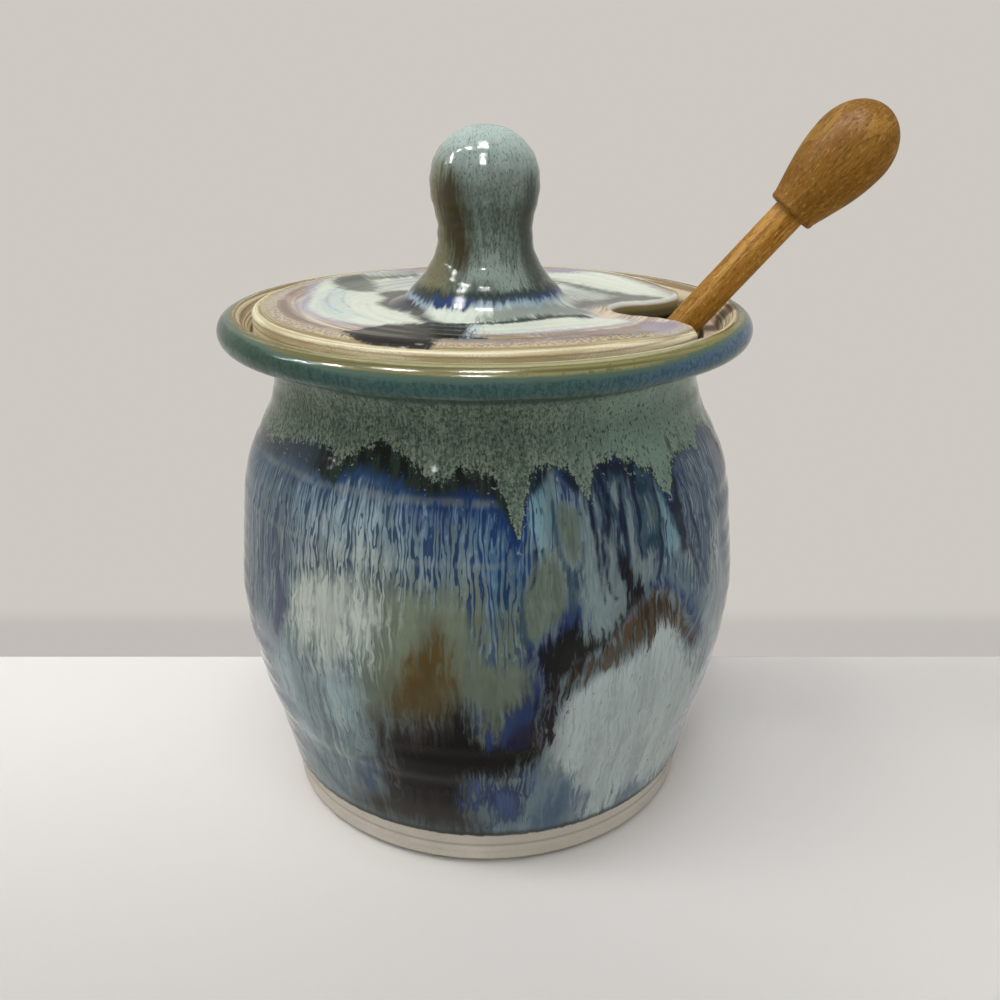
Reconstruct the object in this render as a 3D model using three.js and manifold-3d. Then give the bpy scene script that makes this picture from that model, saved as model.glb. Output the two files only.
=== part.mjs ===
// Stoneware honey pot with a slotted lift-off lid and a wooden dipper.
// Millimetres, +Z up. The origin is the centre of the flat foot, and +X points to the slot in the lid.
import * as THREE from "three";
import { mergeVertices } from "three/addons/utils/BufferGeometryUtils.js";
import Module from "manifold-3d";

const wasm = await Module();
wasm.setup();

// Lid
const lidRadius = 45.7;
const lidThickness = 4.8;
const lidEdgeRound = 0.9;
const lidBottomBevel = 0.7;
const ridgeRise = 1.1;
const slotReach = 25.2; // from the knob's axis to the slot's closed end
const slotEndRadius = 7.2;
const slotCornerRadius = 12;
const slotCornerInset = 17.7; // from the lid's edge to the centres of the slot's outer corners
const slotDip = 0.8; // how far the clay sinks beside the slot
const slotDipNear = THREE.MathUtils.degToRad(25);
const slotDipFar = THREE.MathUtils.degToRad(60);

// Knob
const knobHeight = 34;
const knobBaseRadius = 19.5;
const knobWaistRadius = 8.9;
const knobBulbRadius = 10.5;

// Pot
const potHeight = 102.7;
const lidClearance = 0.6;
const rimWidth = 6.2;
const beadRadius = 2.9;
const galleryDepth = 4.5;
const ledgeWidth = 3.05;
const ledgeThickness = 1.6;
const neckInset = 3.8;
const neckDrop = 13.7;
const bellyBulge = 9.6;
const bellyHeight = 48;
const footInset = 9.6;
const footBevel = 1.3;
const wall = 4.5;
const floorThickness = 9;
const floorFillet = 7;

// Dipper
const dipperLength = 167;
const shaftRadius = 3.15;
const gripLength = 24.3;
const gripShoulderRadius = 4.45;
const gripShoulderRound = 0.8;
const gripBulbRadius = 7.8;
const gripBulbDrop = 9;
const gripBoreDepth = 12;
const headRadius = 12;
const headLength = 38;
const headBoreDepth = 14;
const headHubRadius = 4.9;
const grooveCount = 6;
const groovePitch = 4.4;
const grooveWidth = 2.5;
const grooveDepth = 3.1;
const grooveTaper = 0.5;
const ridgeCrown = 0.12;
const glueGap = 0.3;
const restGap = 0.3;
const headWallGap = 4.1;

const overrun = 5;
const claySides = 60;
const knobSides = 32;
const woodSides = 24;
const curveSteps = 22;
const arcSteps = 7;
const mergeTolerance = 1e-4;

// Radii and heights that follow from the sizes above
const galleryRadius = lidRadius + lidClearance;
const rimRadius = galleryRadius + rimWidth;
const ledgeRadius = galleryRadius - ledgeWidth;
const neckRadius = galleryRadius - neckInset;
const bellyRadius = neckRadius + bellyBulge;
const footRadius = bellyRadius - footInset;
const neckHeight = potHeight - neckDrop;
const seatHeight = potHeight - galleryDepth;
const lidTop = seatHeight + lidThickness;

const point = (radius, height) => new THREE.Vector2(radius, height);
const mix = THREE.MathUtils.lerp;

// Points of an arc in the profile plane, from one angle to another in degrees.
function arc(centreRadius, centreHeight, radius, from, to, steps = arcSteps) {
  const points = [];
  for (let i = 0; i <= steps; i += 1) {
    const angle = THREE.MathUtils.degToRad(mix(from, to, i / steps));
    points.push(point(centreRadius + radius * Math.cos(angle), centreHeight + radius * Math.sin(angle)));
  }
  return points;
}

// A closed body turned about +Z from a profile of radii and heights.
function turned(profile, sides) {
  const geometry = new THREE.LatheGeometry(profile, sides);
  geometry.rotateX(Math.PI / 2);
  geometry.deleteAttribute("normal");
  geometry.deleteAttribute("uv");
  return mergeVertices(geometry, mergeTolerance);
}

function toSolid(geometry) {
  const vertProperties = new Float32Array(geometry.attributes.position.array);
  const triVerts = new Uint32Array(geometry.index.array);
  return new wasm.Manifold(new wasm.Mesh({ numProp: 3, vertProperties, triVerts }));
}

function toGeometry(solid) {
  const mesh = solid.getMesh();
  const geometry = new THREE.BufferGeometry();
  geometry.setAttribute("position", new THREE.BufferAttribute(mesh.vertProperties, 3));
  geometry.setIndex(new THREE.BufferAttribute(mesh.triVerts, 1));
  return geometry;
}

function named(name, geometry, color, roughness) {
  const flat = geometry.index ? geometry.toNonIndexed() : geometry;
  flat.computeVertexNormals();
  const material = new THREE.MeshStandardMaterial({ color, roughness, metalness: 0 });
  const mesh = new THREE.Mesh(flat, material);
  mesh.name = name;
  return mesh;
}

// Outer wall from the bevelled foot to the neck. Each pair is a share of the height of its stretch and
// a share of the swelling: from foot to belly in the lower stretch, from neck to belly in the upper one.
const lowerShares = [[0, 0], [0.1, 0.07], [0.23, 0.21], [0.4, 0.41], [0.57, 0.68], [0.78, 0.9]];
const upperShares = [
  [0, 1], [0.24, 0.91], [0.44, 0.82], [0.58, 0.72],
  [0.68, 0.57], [0.78, 0.36], [0.88, 0.14], [1, 0],
];

function wallCurve() {
  const bevelTop = footBevel;
  const bevelRadius = footRadius + footBevel;
  const lower = lowerShares.map(([rise, swell]) =>
    point(mix(bevelRadius, bellyRadius, swell), mix(bevelTop, bellyHeight, rise)));
  const upper = upperShares.map(([rise, swell]) =>
    point(mix(neckRadius, bellyRadius, swell), mix(bellyHeight, neckHeight, rise)));
  return new THREE.SplineCurve([...lower, ...upper]);
}

const outerWall = wallCurve().getPoints(curveSteps);

// Outer radius of the wall at a height between the foot and the neck.
function wallRadiusAt(height) {
  const above = Math.max(1, outerWall.findIndex((p) => p.y >= height));
  const [low, high] = [outerWall[above - 1], outerWall[above]];
  return mix(low.x, high.x, (height - low.y) / (high.y - low.y));
}

// The flared rim: the underside swings out from the neck into a round bead.
// The shares place the two handles of its curve, up towards the bead and out towards the bead's centre.
const undersideRiseShare = 0.6;
const undersideReachShare = 0.3;

function rimPoints() {
  const beadCentreRadius = rimRadius - beadRadius;
  const beadCentreHeight = potHeight - beadRadius;
  const beadBottom = beadCentreHeight - beadRadius;
  const underside = new THREE.CubicBezierCurve(
    point(neckRadius, neckHeight),
    point(neckRadius, mix(neckHeight, beadBottom, undersideRiseShare)),
    point(mix(neckRadius, beadCentreRadius, undersideReachShare), beadBottom),
    point(beadCentreRadius, beadBottom),
  );
  const bead = arc(beadCentreRadius, beadCentreHeight, beadRadius, -90, 110, 10);
  return [...underside.getPoints(arcSteps).slice(1), ...bead.slice(1)];
}

// Inside, from the gallery that carries the lid down to the floor.
// The gallery's wall is upright for a share of its depth and flares above it.
const galleryUprightShare = 0.33;

function cavityPoints() {
  const inner = outerWall
    .filter((p) => p.y > floorThickness + floorFillet)
    .map((p) => point(p.x - wall, p.y))
    .reverse();
  const gallery = [
    point(galleryRadius, seatHeight + galleryDepth * galleryUprightShare),
    point(galleryRadius, seatHeight),
    point(ledgeRadius, seatHeight),
    point(ledgeRadius, seatHeight - ledgeThickness),
  ];
  const cornerHeight = floorThickness + floorFillet;
  const corner = arc(wallRadiusAt(cornerHeight) - wall - floorFillet, cornerHeight, floorFillet, 0, -90, 5);
  return [...gallery, ...inner, ...corner, point(0, floorThickness)];
}

function potBody() {
  const foot = [point(0, 0), point(footRadius, 0)];
  return turned([...foot, ...outerWall, ...rimPoints(), ...cavityPoints()], claySides);
}

// Slot in plan: a round closed end that opens through two round corners to the lid's edge.
function slotOutline() {
  const endX = slotReach + slotEndRadius;
  const cornerX = lidRadius - slotCornerInset;
  const cornerY = Math.sqrt((slotEndRadius + slotCornerRadius) ** 2 - (endX - cornerX) ** 2);
  const meet = Math.atan2(cornerY, cornerX - endX);
  const outline = new THREE.Shape();
  outline.absarc(endX, 0, slotEndRadius, meet, 2 * Math.PI - meet, false);
  outline.absarc(cornerX, -cornerY, slotCornerRadius, Math.PI - meet, 0, true);
  outline.lineTo(cornerX + slotCornerRadius, -lidRadius);
  outline.lineTo(lidRadius + overrun, -lidRadius);
  outline.lineTo(lidRadius + overrun, lidRadius);
  outline.lineTo(cornerX + slotCornerRadius, lidRadius);
  outline.absarc(cornerX, cornerY, slotCornerRadius, 0, meet - Math.PI, true);
  return outline;
}

// Lowers the top of the lid beside the slot, where the clay sank.
function sinkBesideSlot(geometry) {
  const position = geometry.attributes.position;
  const sunkTop = lidTop - slotDip;
  for (let i = 0; i < position.count; i += 1) {
    const [x, y, z] = [position.getX(i), position.getY(i), position.getZ(i)];
    const outward = THREE.MathUtils.smoothstep(Math.hypot(x, y), knobBaseRadius, slotReach);
    const beside = 1 - THREE.MathUtils.smoothstep(Math.abs(Math.atan2(y, x)), slotDipNear, slotDipFar);
    position.setZ(i, mix(z, Math.min(z, sunkTop), outward * beside));
  }
  return geometry;
}

// Top of the lid from its edge inwards: shares of the lid's radius and of the ridge's rise.
const lidTopShares = [[0.92, 0.7], [0.865, 1], [0.82, 0.4], [0.76, 0]];
const lidEdgeShare = 0.25;
// Rings on the flat of the lid, as shares of the way from the knob's base to the slot's end.
const flatRingShares = [0.9, 0.3];

function lidPlate() {
  const edgeTop = lidTop + ridgeRise * lidEdgeShare;
  const profile = [
    point(0, seatHeight),
    point(lidRadius - lidBottomBevel, seatHeight),
    point(lidRadius, seatHeight + lidBottomBevel),
    ...arc(lidRadius - lidEdgeRound, edgeTop - lidEdgeRound, lidEdgeRound, 0, 90, 4),
    ...lidTopShares.map(([reach, rise]) => point(lidRadius * reach, lidTop + ridgeRise * rise)),
    ...flatRingShares.map((reach) => point(mix(knobBaseRadius, slotReach, reach), lidTop)),
    point(0, lidTop),
  ];
  const blank = sinkBesideSlot(turned(profile, claySides));
  const depth = lidThickness + ridgeRise + 2 * overrun;
  const cutter = new THREE.ExtrudeGeometry(slotOutline(), { depth, bevelEnabled: false, curveSegments: 10 });
  cutter.translate(0, 0, seatHeight - overrun);
  cutter.deleteAttribute("normal");
  cutter.deleteAttribute("uv");
  return toGeometry(toSolid(blank).subtract(toSolid(mergeVertices(cutter, mergeTolerance))));
}

// Flare of the knob: shares of its height, and of the way from the waist out to the base.
const flareShares = [
  [0, 1], [0.016, 0.98], [0.036, 0.78], [0.09, 0.55],
  [0.174, 0.29], [0.26, 0.11], [0.4, 0],
];

function lidKnob() {
  const bulbCentre = lidTop + knobHeight - knobBulbRadius;
  const flare = flareShares.map(([rise, spread]) =>
    point(mix(knobWaistRadius, knobBaseRadius, spread), lidTop + knobHeight * rise));
  const bulb = arc(0, bulbCentre, knobBulbRadius, -30, 90, 10);
  bulb[bulb.length - 1].x = 0;
  return turned([point(0, lidTop), ...flare, ...bulb], knobSides);
}

// Dipper parts stand along +Z from the end of the head, before the dipper is leant into the pot.
const headCore = headRadius - grooveDepth;
const headBoreBottom = headLength - headBoreDepth;
const gripShoulder = dipperLength - gripLength;
const boreRadius = shaftRadius + glueGap;

// Radius of the head's barrel at a distance from its end: a round dome, then a slow taper to the hub.
function barrelRadius(along) {
  const dome = Math.sqrt(Math.max(0, headRadius ** 2 - Math.max(0, headRadius - along) ** 2));
  const past = Math.max(0, along - headLength / 2) / (headLength / 2);
  return dome - (headRadius - headHubRadius) * past ** 3;
}

function dipperHead() {
  const firstGroove = headLength / 2 - (grooveCount * groovePitch) / 2 + (groovePitch - grooveWidth) / 2;
  const profile = arc(0, headRadius, headRadius, -90, -40, 5).slice(1);
  for (let i = 0; i < grooveCount; i += 1) {
    const start = firstGroove + i * groovePitch;
    const end = start + grooveWidth;
    const core = Math.min(headCore, barrelRadius(start) - grooveDepth, barrelRadius(end) - grooveDepth);
    const ridge = end + (groovePitch - grooveWidth) / 2;
    profile.push(point(barrelRadius(start), start));
    profile.push(point(core, start + grooveTaper));
    profile.push(point(core, end - grooveTaper));
    profile.push(point(barrelRadius(end), end));
    profile.push(point(barrelRadius(ridge) + ridgeCrown, ridge));
  }
  const bore = [
    point(headHubRadius, headLength),
    point(boreRadius, headLength),
    point(boreRadius, headBoreBottom),
    point(0, headBoreBottom),
  ];
  return turned([point(0, 0), ...profile, ...bore], woodSides);
}

function dipperShaft() {
  const bottom = headBoreBottom + glueGap;
  const top = gripShoulder + gripBoreDepth - glueGap;
  const side = [point(shaftRadius, bottom), point(shaftRadius, top)];
  return turned([point(0, bottom), ...side, point(0, top)], woodSides);
}

// Handles of the grip's swelling side, as shares of its height and of its swelling.
const gripLowRiseShare = 0.4;
const gripLowSwellShare = 0.5;
const gripHighRiseShare = 0.65;

function dipperGrip() {
  const boreTop = gripShoulder + gripBoreDepth;
  const bulbHeight = dipperLength - gripBulbDrop;
  const bore = [point(0, boreTop), point(boreRadius, boreTop), point(boreRadius, gripShoulder)];
  const shoulder = [
    point(gripShoulderRadius - gripShoulderRound, gripShoulder),
    point(gripShoulderRadius, gripShoulder + gripShoulderRound),
  ];
  const swell = new THREE.CubicBezierCurve(
    shoulder[1],
    point(
      mix(gripShoulderRadius, gripBulbRadius, gripLowSwellShare),
      mix(gripShoulder, bulbHeight, gripLowRiseShare),
    ),
    point(gripBulbRadius, mix(gripShoulder, bulbHeight, gripHighRiseShare)),
    point(gripBulbRadius, bulbHeight),
  );
  const quarter = arc(0, 0, 1, 0, 90, 8).slice(1);
  const tip = quarter.map((p) => point(p.x * gripBulbRadius, bulbHeight + p.y * gripBulbDrop));
  tip[tip.length - 1].x = 0;
  return turned([...bore, ...shoulder, ...swell.getPoints(arcSteps).slice(1), ...tip], woodSides);
}

// The dipper stands on the floor with the dome of its head and leans on the inner edge of the ledge.
function leanDipper(group) {
  const domeHeight = floorThickness + restGap + headRadius;
  const domeX = -(wallRadiusAt(domeHeight) - wall - headWallGap - headRadius);
  const across = ledgeRadius - domeX;
  const up = seatHeight - domeHeight;
  const lean = Math.atan2(across, up) - Math.asin((shaftRadius + restGap) / Math.hypot(across, up));
  group.rotation.y = lean;
  group.position.set(domeX - headRadius * Math.sin(lean), 0, domeHeight - headRadius * Math.cos(lean));
}

const glaze = 0x6f8791;
const beech = 0x9a6b2e;

const dipper = new THREE.Group();
dipper.add(named("dipper_head", dipperHead(), beech, 0.5));
dipper.add(named("dipper_shaft", dipperShaft(), beech, 0.5));
dipper.add(named("dipper_grip", dipperGrip(), beech, 0.5));
leanDipper(dipper);

const honeyPot = new THREE.Group();
honeyPot.add(named("pot_body", potBody(), glaze, 0.2));
honeyPot.add(named("lid_plate", lidPlate(), 0xb9bfae, 0.25));
honeyPot.add(named("lid_knob", lidKnob(), 0x7f9490, 0.2));
honeyPot.add(dipper);

export default honeyPot;
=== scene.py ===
import math

import bpy
import numpy as np
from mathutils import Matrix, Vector
from mathutils.geometry import delaunay_2d_cdt


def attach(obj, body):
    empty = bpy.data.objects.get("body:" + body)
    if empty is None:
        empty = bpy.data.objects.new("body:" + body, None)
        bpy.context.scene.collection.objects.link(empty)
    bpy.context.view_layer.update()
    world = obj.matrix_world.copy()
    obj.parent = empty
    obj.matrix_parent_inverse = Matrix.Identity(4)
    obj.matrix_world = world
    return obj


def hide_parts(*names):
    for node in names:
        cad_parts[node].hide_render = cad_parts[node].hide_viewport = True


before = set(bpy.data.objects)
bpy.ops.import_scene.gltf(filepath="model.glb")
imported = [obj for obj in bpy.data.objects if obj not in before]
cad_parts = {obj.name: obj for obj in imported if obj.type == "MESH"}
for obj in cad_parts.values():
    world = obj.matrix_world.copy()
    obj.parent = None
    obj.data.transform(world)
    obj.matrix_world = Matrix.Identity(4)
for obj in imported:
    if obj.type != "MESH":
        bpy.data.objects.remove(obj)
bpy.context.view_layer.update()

MM = 0.001

# Sizes of the object in millimetres, as in its solids. +X points to the slot.
LID_RADIUS = 45.7
LID_THICKNESS = 4.8
RIDGE_RISE = 1.1
SLOT_REACH = 25.2
SLOT_END_RADIUS = 7.2
SLOT_CORNER_RADIUS = 12.0
SLOT_CORNER_INSET = 17.7
SLOT_DIP = 0.8
SLOT_DIP_NEAR = math.radians(25)
SLOT_DIP_FAR = math.radians(60)
KNOB_HEIGHT = 34.0
KNOB_BASE_RADIUS = 19.5
KNOB_WAIST_RADIUS = 8.9
KNOB_BULB_RADIUS = 10.5
POT_HEIGHT = 102.7
GALLERY_RADIUS = 46.3
RIM_RADIUS = 52.45
BEAD_RADIUS = 2.9
GALLERY_DEPTH = 4.5
LEDGE_RADIUS = 43.25
LEDGE_THICKNESS = 1.6
NECK_RADIUS = 42.5
NECK_HEIGHT = 89.0
BELLY_RADIUS = 52.1
BELLY_HEIGHT = 48.0
FOOT_RADIUS = 42.5
FOOT_BEVEL = 1.3
WALL = 4.5
FLOOR_THICKNESS = 9.0
FLOOR_FILLET = 7.0
SEAT_HEIGHT = POT_HEIGHT - GALLERY_DEPTH
LID_TOP = SEAT_HEIGHT + LID_THICKNESS
DIPPER_LENGTH = 167.0
SHAFT_RADIUS = 3.15
SHAFT_BEVEL = 0.3
GRIP_LENGTH = 24.3
GRIP_SHOULDER_RADIUS = 4.85
GRIP_SHOULDER_ROUND = 1.2
GRIP_BULB_RADIUS = 7.77
GRIP_BULB_DROP = 9.03
GRIP_BORE_DEPTH = 12.0
HEAD_RADIUS = 12.0
HEAD_LENGTH = 38.0
HEAD_BORE_DEPTH = 14.0
HEAD_HUB_RADIUS = 4.9
GROOVE_COUNT = 6
GROOVE_PITCH = 4.4
GROOVE_WIDTH = 2.5
GROOVE_DEPTH = 3.1
GLUE_GAP = 0.3
DIPPER_LEAN = math.radians(40.5127)
DIPPER_END = (-34.79, 0.0, 12.18)

# Azimuths of the glaze are measured in degrees from the side that faces the camera, to its right.
FRONT = -84.67
# The camera's turn about the vertical. The lid's plan is drawn with +X to the camera's right.
PLAN_TURN = math.radians(4.5)

KNOB_SIDES = 200
WOOD_SIDES = 96
CURVE_STEPS = 4  # from one point of a drawing to the next
DRAWING_REACH = 8.0  # how far from its edge a drawing is measured
FINE_STEP = 0.62  # between rows of points on the pot's outside and on the lid
COARSE_STEP = 3.0  # the same inside the pot and along the stick
FLOOR_STEP = 8.0
KNOB_STEP = 0.55
FINE_SIDE = 66  # degrees on either side of the front with the closest points
FINE_TURN, COARSE_TURN = 0.6, 1.5  # degrees from side to side of the pot, there and on the rest
HUB_RADIUS = 12.0  # under the knob the lid's points are further apart
HUB_STEP = 2.4
GRID_HALF = 46


# Curves

def mix(a, b, t):
    return a + (b - a) * t


def smoothstep(low, high, value):
    t = np.clip((value - low) / (high - low), 0, 1)
    return t * t * (3 - 2 * t)


def ridge(value, centre, width):
    """A soft bump over the values near a centre."""
    return np.exp(-(((value - centre) / width) ** 2))


def spline(points, steps, closed=False):
    """Points of a smooth curve through the given ones."""
    p = np.array(points, float)
    p = np.vstack([p[-1:], p, p[:2]] if closed else [p[:1], p, p[-1:]])
    t = np.linspace(0, 1, steps, endpoint=False)[:, None]
    pieces = []
    for a, b, c, d in zip(p, p[1:], p[2:], p[3:]):
        v, w = (c - a) / 2, (d - b) / 2
        pieces.append((2 * b - 2 * c + v + w) * t**3 + (-3 * b + 3 * c - 2 * v - w) * t**2 + v * t + b)
    return np.vstack(pieces if closed else [*pieces, p[-1:]])


def bezier(a, b, c, d, steps):
    a, b, c, d = (np.array(p, float) for p in (a, b, c, d))
    t = np.linspace(0, 1, steps + 1)[:, None]
    return (1 - t) ** 3 * a + 3 * (1 - t) ** 2 * t * b + 3 * (1 - t) * t * t * c + t**3 * d


def arc(centre, radius, start, end, steps):
    angle = np.radians(np.linspace(start, end, steps + 1))
    return np.stack([centre[0] + radius * np.cos(angle), centre[1] + radius * np.sin(angle)], 1)


def rounded(corners, steps=4):
    """A path through corners given as (x, y, radius), each turned in an arc of that radius."""
    points = []
    for i, (x, y, radius) in enumerate(corners):
        here = np.array([x, y], float)
        if radius == 0 or i in (0, len(corners) - 1):
            points.append(here)
            continue
        before = np.array(corners[i - 1][:2], float) - here
        after = np.array(corners[i + 1][:2], float) - here
        before /= np.linalg.norm(before)
        after /= np.linalg.norm(after)
        half = math.acos(np.clip(before @ after, -1, 1)) / 2
        reach = radius / math.tan(half)
        a, b = here + before * reach, here + after * reach
        for t in np.linspace(0, 1, steps + 1):
            points.append((1 - t) ** 2 * a + 2 * (1 - t) * t * here + t * t * b)
    return np.array(points)


def lengths_along(points):
    return np.r_[0, np.cumsum(np.hypot(*np.diff(points, axis=0).T))]


def evened(points, step):
    """The same path with points about one step apart."""
    points = np.array(points, float)
    along = lengths_along(points)
    count = max(2, int(round(along[-1] / step)) + 1)
    at = np.linspace(0, along[-1], count)
    return np.stack([np.interp(at, along, points[:, 0]), np.interp(at, along, points[:, 1])], 1)


# Shapes drawn on a surface

def inside(x, y, outline):
    """Distance in millimetres from a closed outline, positive inside."""
    nearest = np.full(x.shape, 1e9)
    within = np.zeros(x.shape, bool)
    ends = np.roll(outline, -1, axis=0)
    for (ax, ay), (bx, by) in zip(outline, ends):
        dx, dy = bx - ax, by - ay
        length = dx * dx + dy * dy
        if length == 0:
            continue
        t = np.clip(((x - ax) * dx + (y - ay) * dy) / length, 0, 1)
        nearest = np.minimum(nearest, np.hypot(x - ax - t * dx, y - ay - t * dy))
        if ay != by:
            crossed = ((ay > y) != (by > y)) & (x < dx * (y - ay) / dy + ax)
            within ^= crossed
    return np.where(within, nearest, -nearest)


def stroke(x, y, path):
    """Distance in millimetres inside a brush stroke whose path is (x, y, half width)."""
    best = np.full(x.shape, -1e9)
    for (ax, ay, aw), (bx, by, bw) in zip(path, path[1:]):
        dx, dy = bx - ax, by - ay
        t = np.clip(((x - ax) * dx + (y - ay) * dy) / max(dx * dx + dy * dy, 1e-9), 0, 1)
        best = np.maximum(best, mix(aw, bw, t) - np.hypot(x - ax - t * dx, y - ay - t * dy))
    return best


def drawn(x, y, shapes):
    """Distance in millimetres inside a drawing's shapes, measured as far as DRAWING_REACH. Points of three
    numbers make a shape the path of a brush stroke, and points of two its outline."""
    best = np.full(len(x), -DRAWING_REACH)
    for shape in shapes:
        brush = len(shape[0]) == 3
        path = spline(shape, CURVE_STEPS, closed=not brush)
        reach = DRAWING_REACH + (path[:, 2].max() if brush else 0)
        left, bottom = path[:, :2].min(axis=0) - reach
        right, top = path[:, :2].max(axis=0) + reach
        near = np.nonzero((x > left) & (x < right) & (y > bottom) & (y < top))[0]
        if len(near):
            best[near] = np.maximum(best[near], (stroke if brush else inside)(x[near], y[near], path))
    return np.clip(best, -DRAWING_REACH, DRAWING_REACH)


def scaled(shapes, width):
    """Shapes with their first coordinate in millimetres, from degrees of the given width."""
    return [[(point[0] * width, *point[1:]) for point in shape] for shape in shapes]


# Meshes

def mesh_object(name, points, faces, marks=None):
    """A smooth mesh object from points in millimetres. Marks are values or vectors kept for its material."""
    mesh = bpy.data.meshes.new(name)
    mesh.from_pydata((np.asarray(points, float) * MM).tolist(), [], faces)
    for key, values in (marks or {}).items():
        values = np.asarray(values, np.float32)
        if values.ndim == 2:
            mesh.attributes.new(key, "FLOAT_VECTOR", "POINT").data.foreach_set("vector", values.ravel())
        else:
            mesh.attributes.new(key, "FLOAT", "POINT").data.foreach_set("value", values)
    mesh.polygons.foreach_set("use_smooth", [True] * len(mesh.polygons))
    mesh.validate()
    made = bpy.data.objects.new(name, mesh)
    bpy.context.scene.collection.objects.link(made)
    return made


def turned(profile, angle):
    """A closed body turned about +Z. The profile runs from the axis below, outwards and up, to the axis.
    Returns points, faces, and for each point its azimuth and its distance along the profile."""
    profile = np.array(profile, float)
    along = lengths_along(profile)
    sides = len(angle)
    rings = profile[1:-1]
    x = rings[:, :1] * np.cos(angle)
    y = rings[:, :1] * np.sin(angle)
    z = np.repeat(rings[:, 1:], sides, axis=1)
    points = np.stack([x, y, z], 2).reshape(-1, 3)
    count = len(rings)
    i = np.arange(count - 1)[:, None] * sides
    j = np.arange(sides)[None, :]
    k = (j + 1) % sides
    quads = np.stack([i + j, i + k, i + sides + k, i + sides + j], 2).reshape(-1, 4)
    low, high = len(points), len(points) + 1
    points = np.vstack([points, [0, 0, profile[0, 1]], [0, 0, profile[-1, 1]]])
    last = (count - 1) * sides
    fans = [(low, (s + 1) % sides, s) for s in range(sides)]
    fans += [(high, last + s, last + (s + 1) % sides) for s in range(sides)]
    azimuth = np.r_[np.tile(angle, count), 0, 0]
    along = np.r_[np.repeat(along[1:-1], sides), along[0], along[-1]]
    return points, quads.tolist() + fans, azimuth, along


def push(points, azimuth, out):
    """Moves points away from the axis."""
    points[:, :2] += out[:, None] * np.stack([np.cos(azimuth), np.sin(azimuth)], 1)


def even_angles(sides):
    return np.arange(sides) * 2 * math.pi / sides


def flow_marks(azimuth, along, radius=50.0):
    """Coordinates in which streaks run along the profile and close round the axis."""
    return np.stack([radius * np.cos(azimuth), radius * np.sin(azimuth), along], 1)


def front_degrees(azimuth):
    """Degrees from the side that faces the camera, from -180 to 180."""
    return (np.degrees(azimuth) - FRONT + 180) % 360 - 180


# Materials
GLAZE_IOR = 1.5
WOOD_IOR = 1.45


def srgb(red, green, blue):
    """A colour written as it looks, in steps of 255, as the linear colour that shaders take."""
    return tuple(((c / 255 + 0.055) / 1.055) ** 2.4 if c > 10 else c / 255 / 12.92 for c in (red, green, blue))


class Signal:
    """An output of a node, which can be added to, scaled and compared."""

    def __init__(self, sheet, socket):
        self.sheet, self.socket = sheet, socket

    def __add__(self, other):
        return self.sheet.math("ADD", self, other)

    def __sub__(self, other):
        return self.sheet.math("SUBTRACT", self, other)

    def __rsub__(self, other):
        return self.sheet.math("SUBTRACT", other, self)

    def __mul__(self, other):
        return self.sheet.math("MULTIPLY", self, other)

    __radd__ = __add__
    __rmul__ = __mul__


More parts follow.
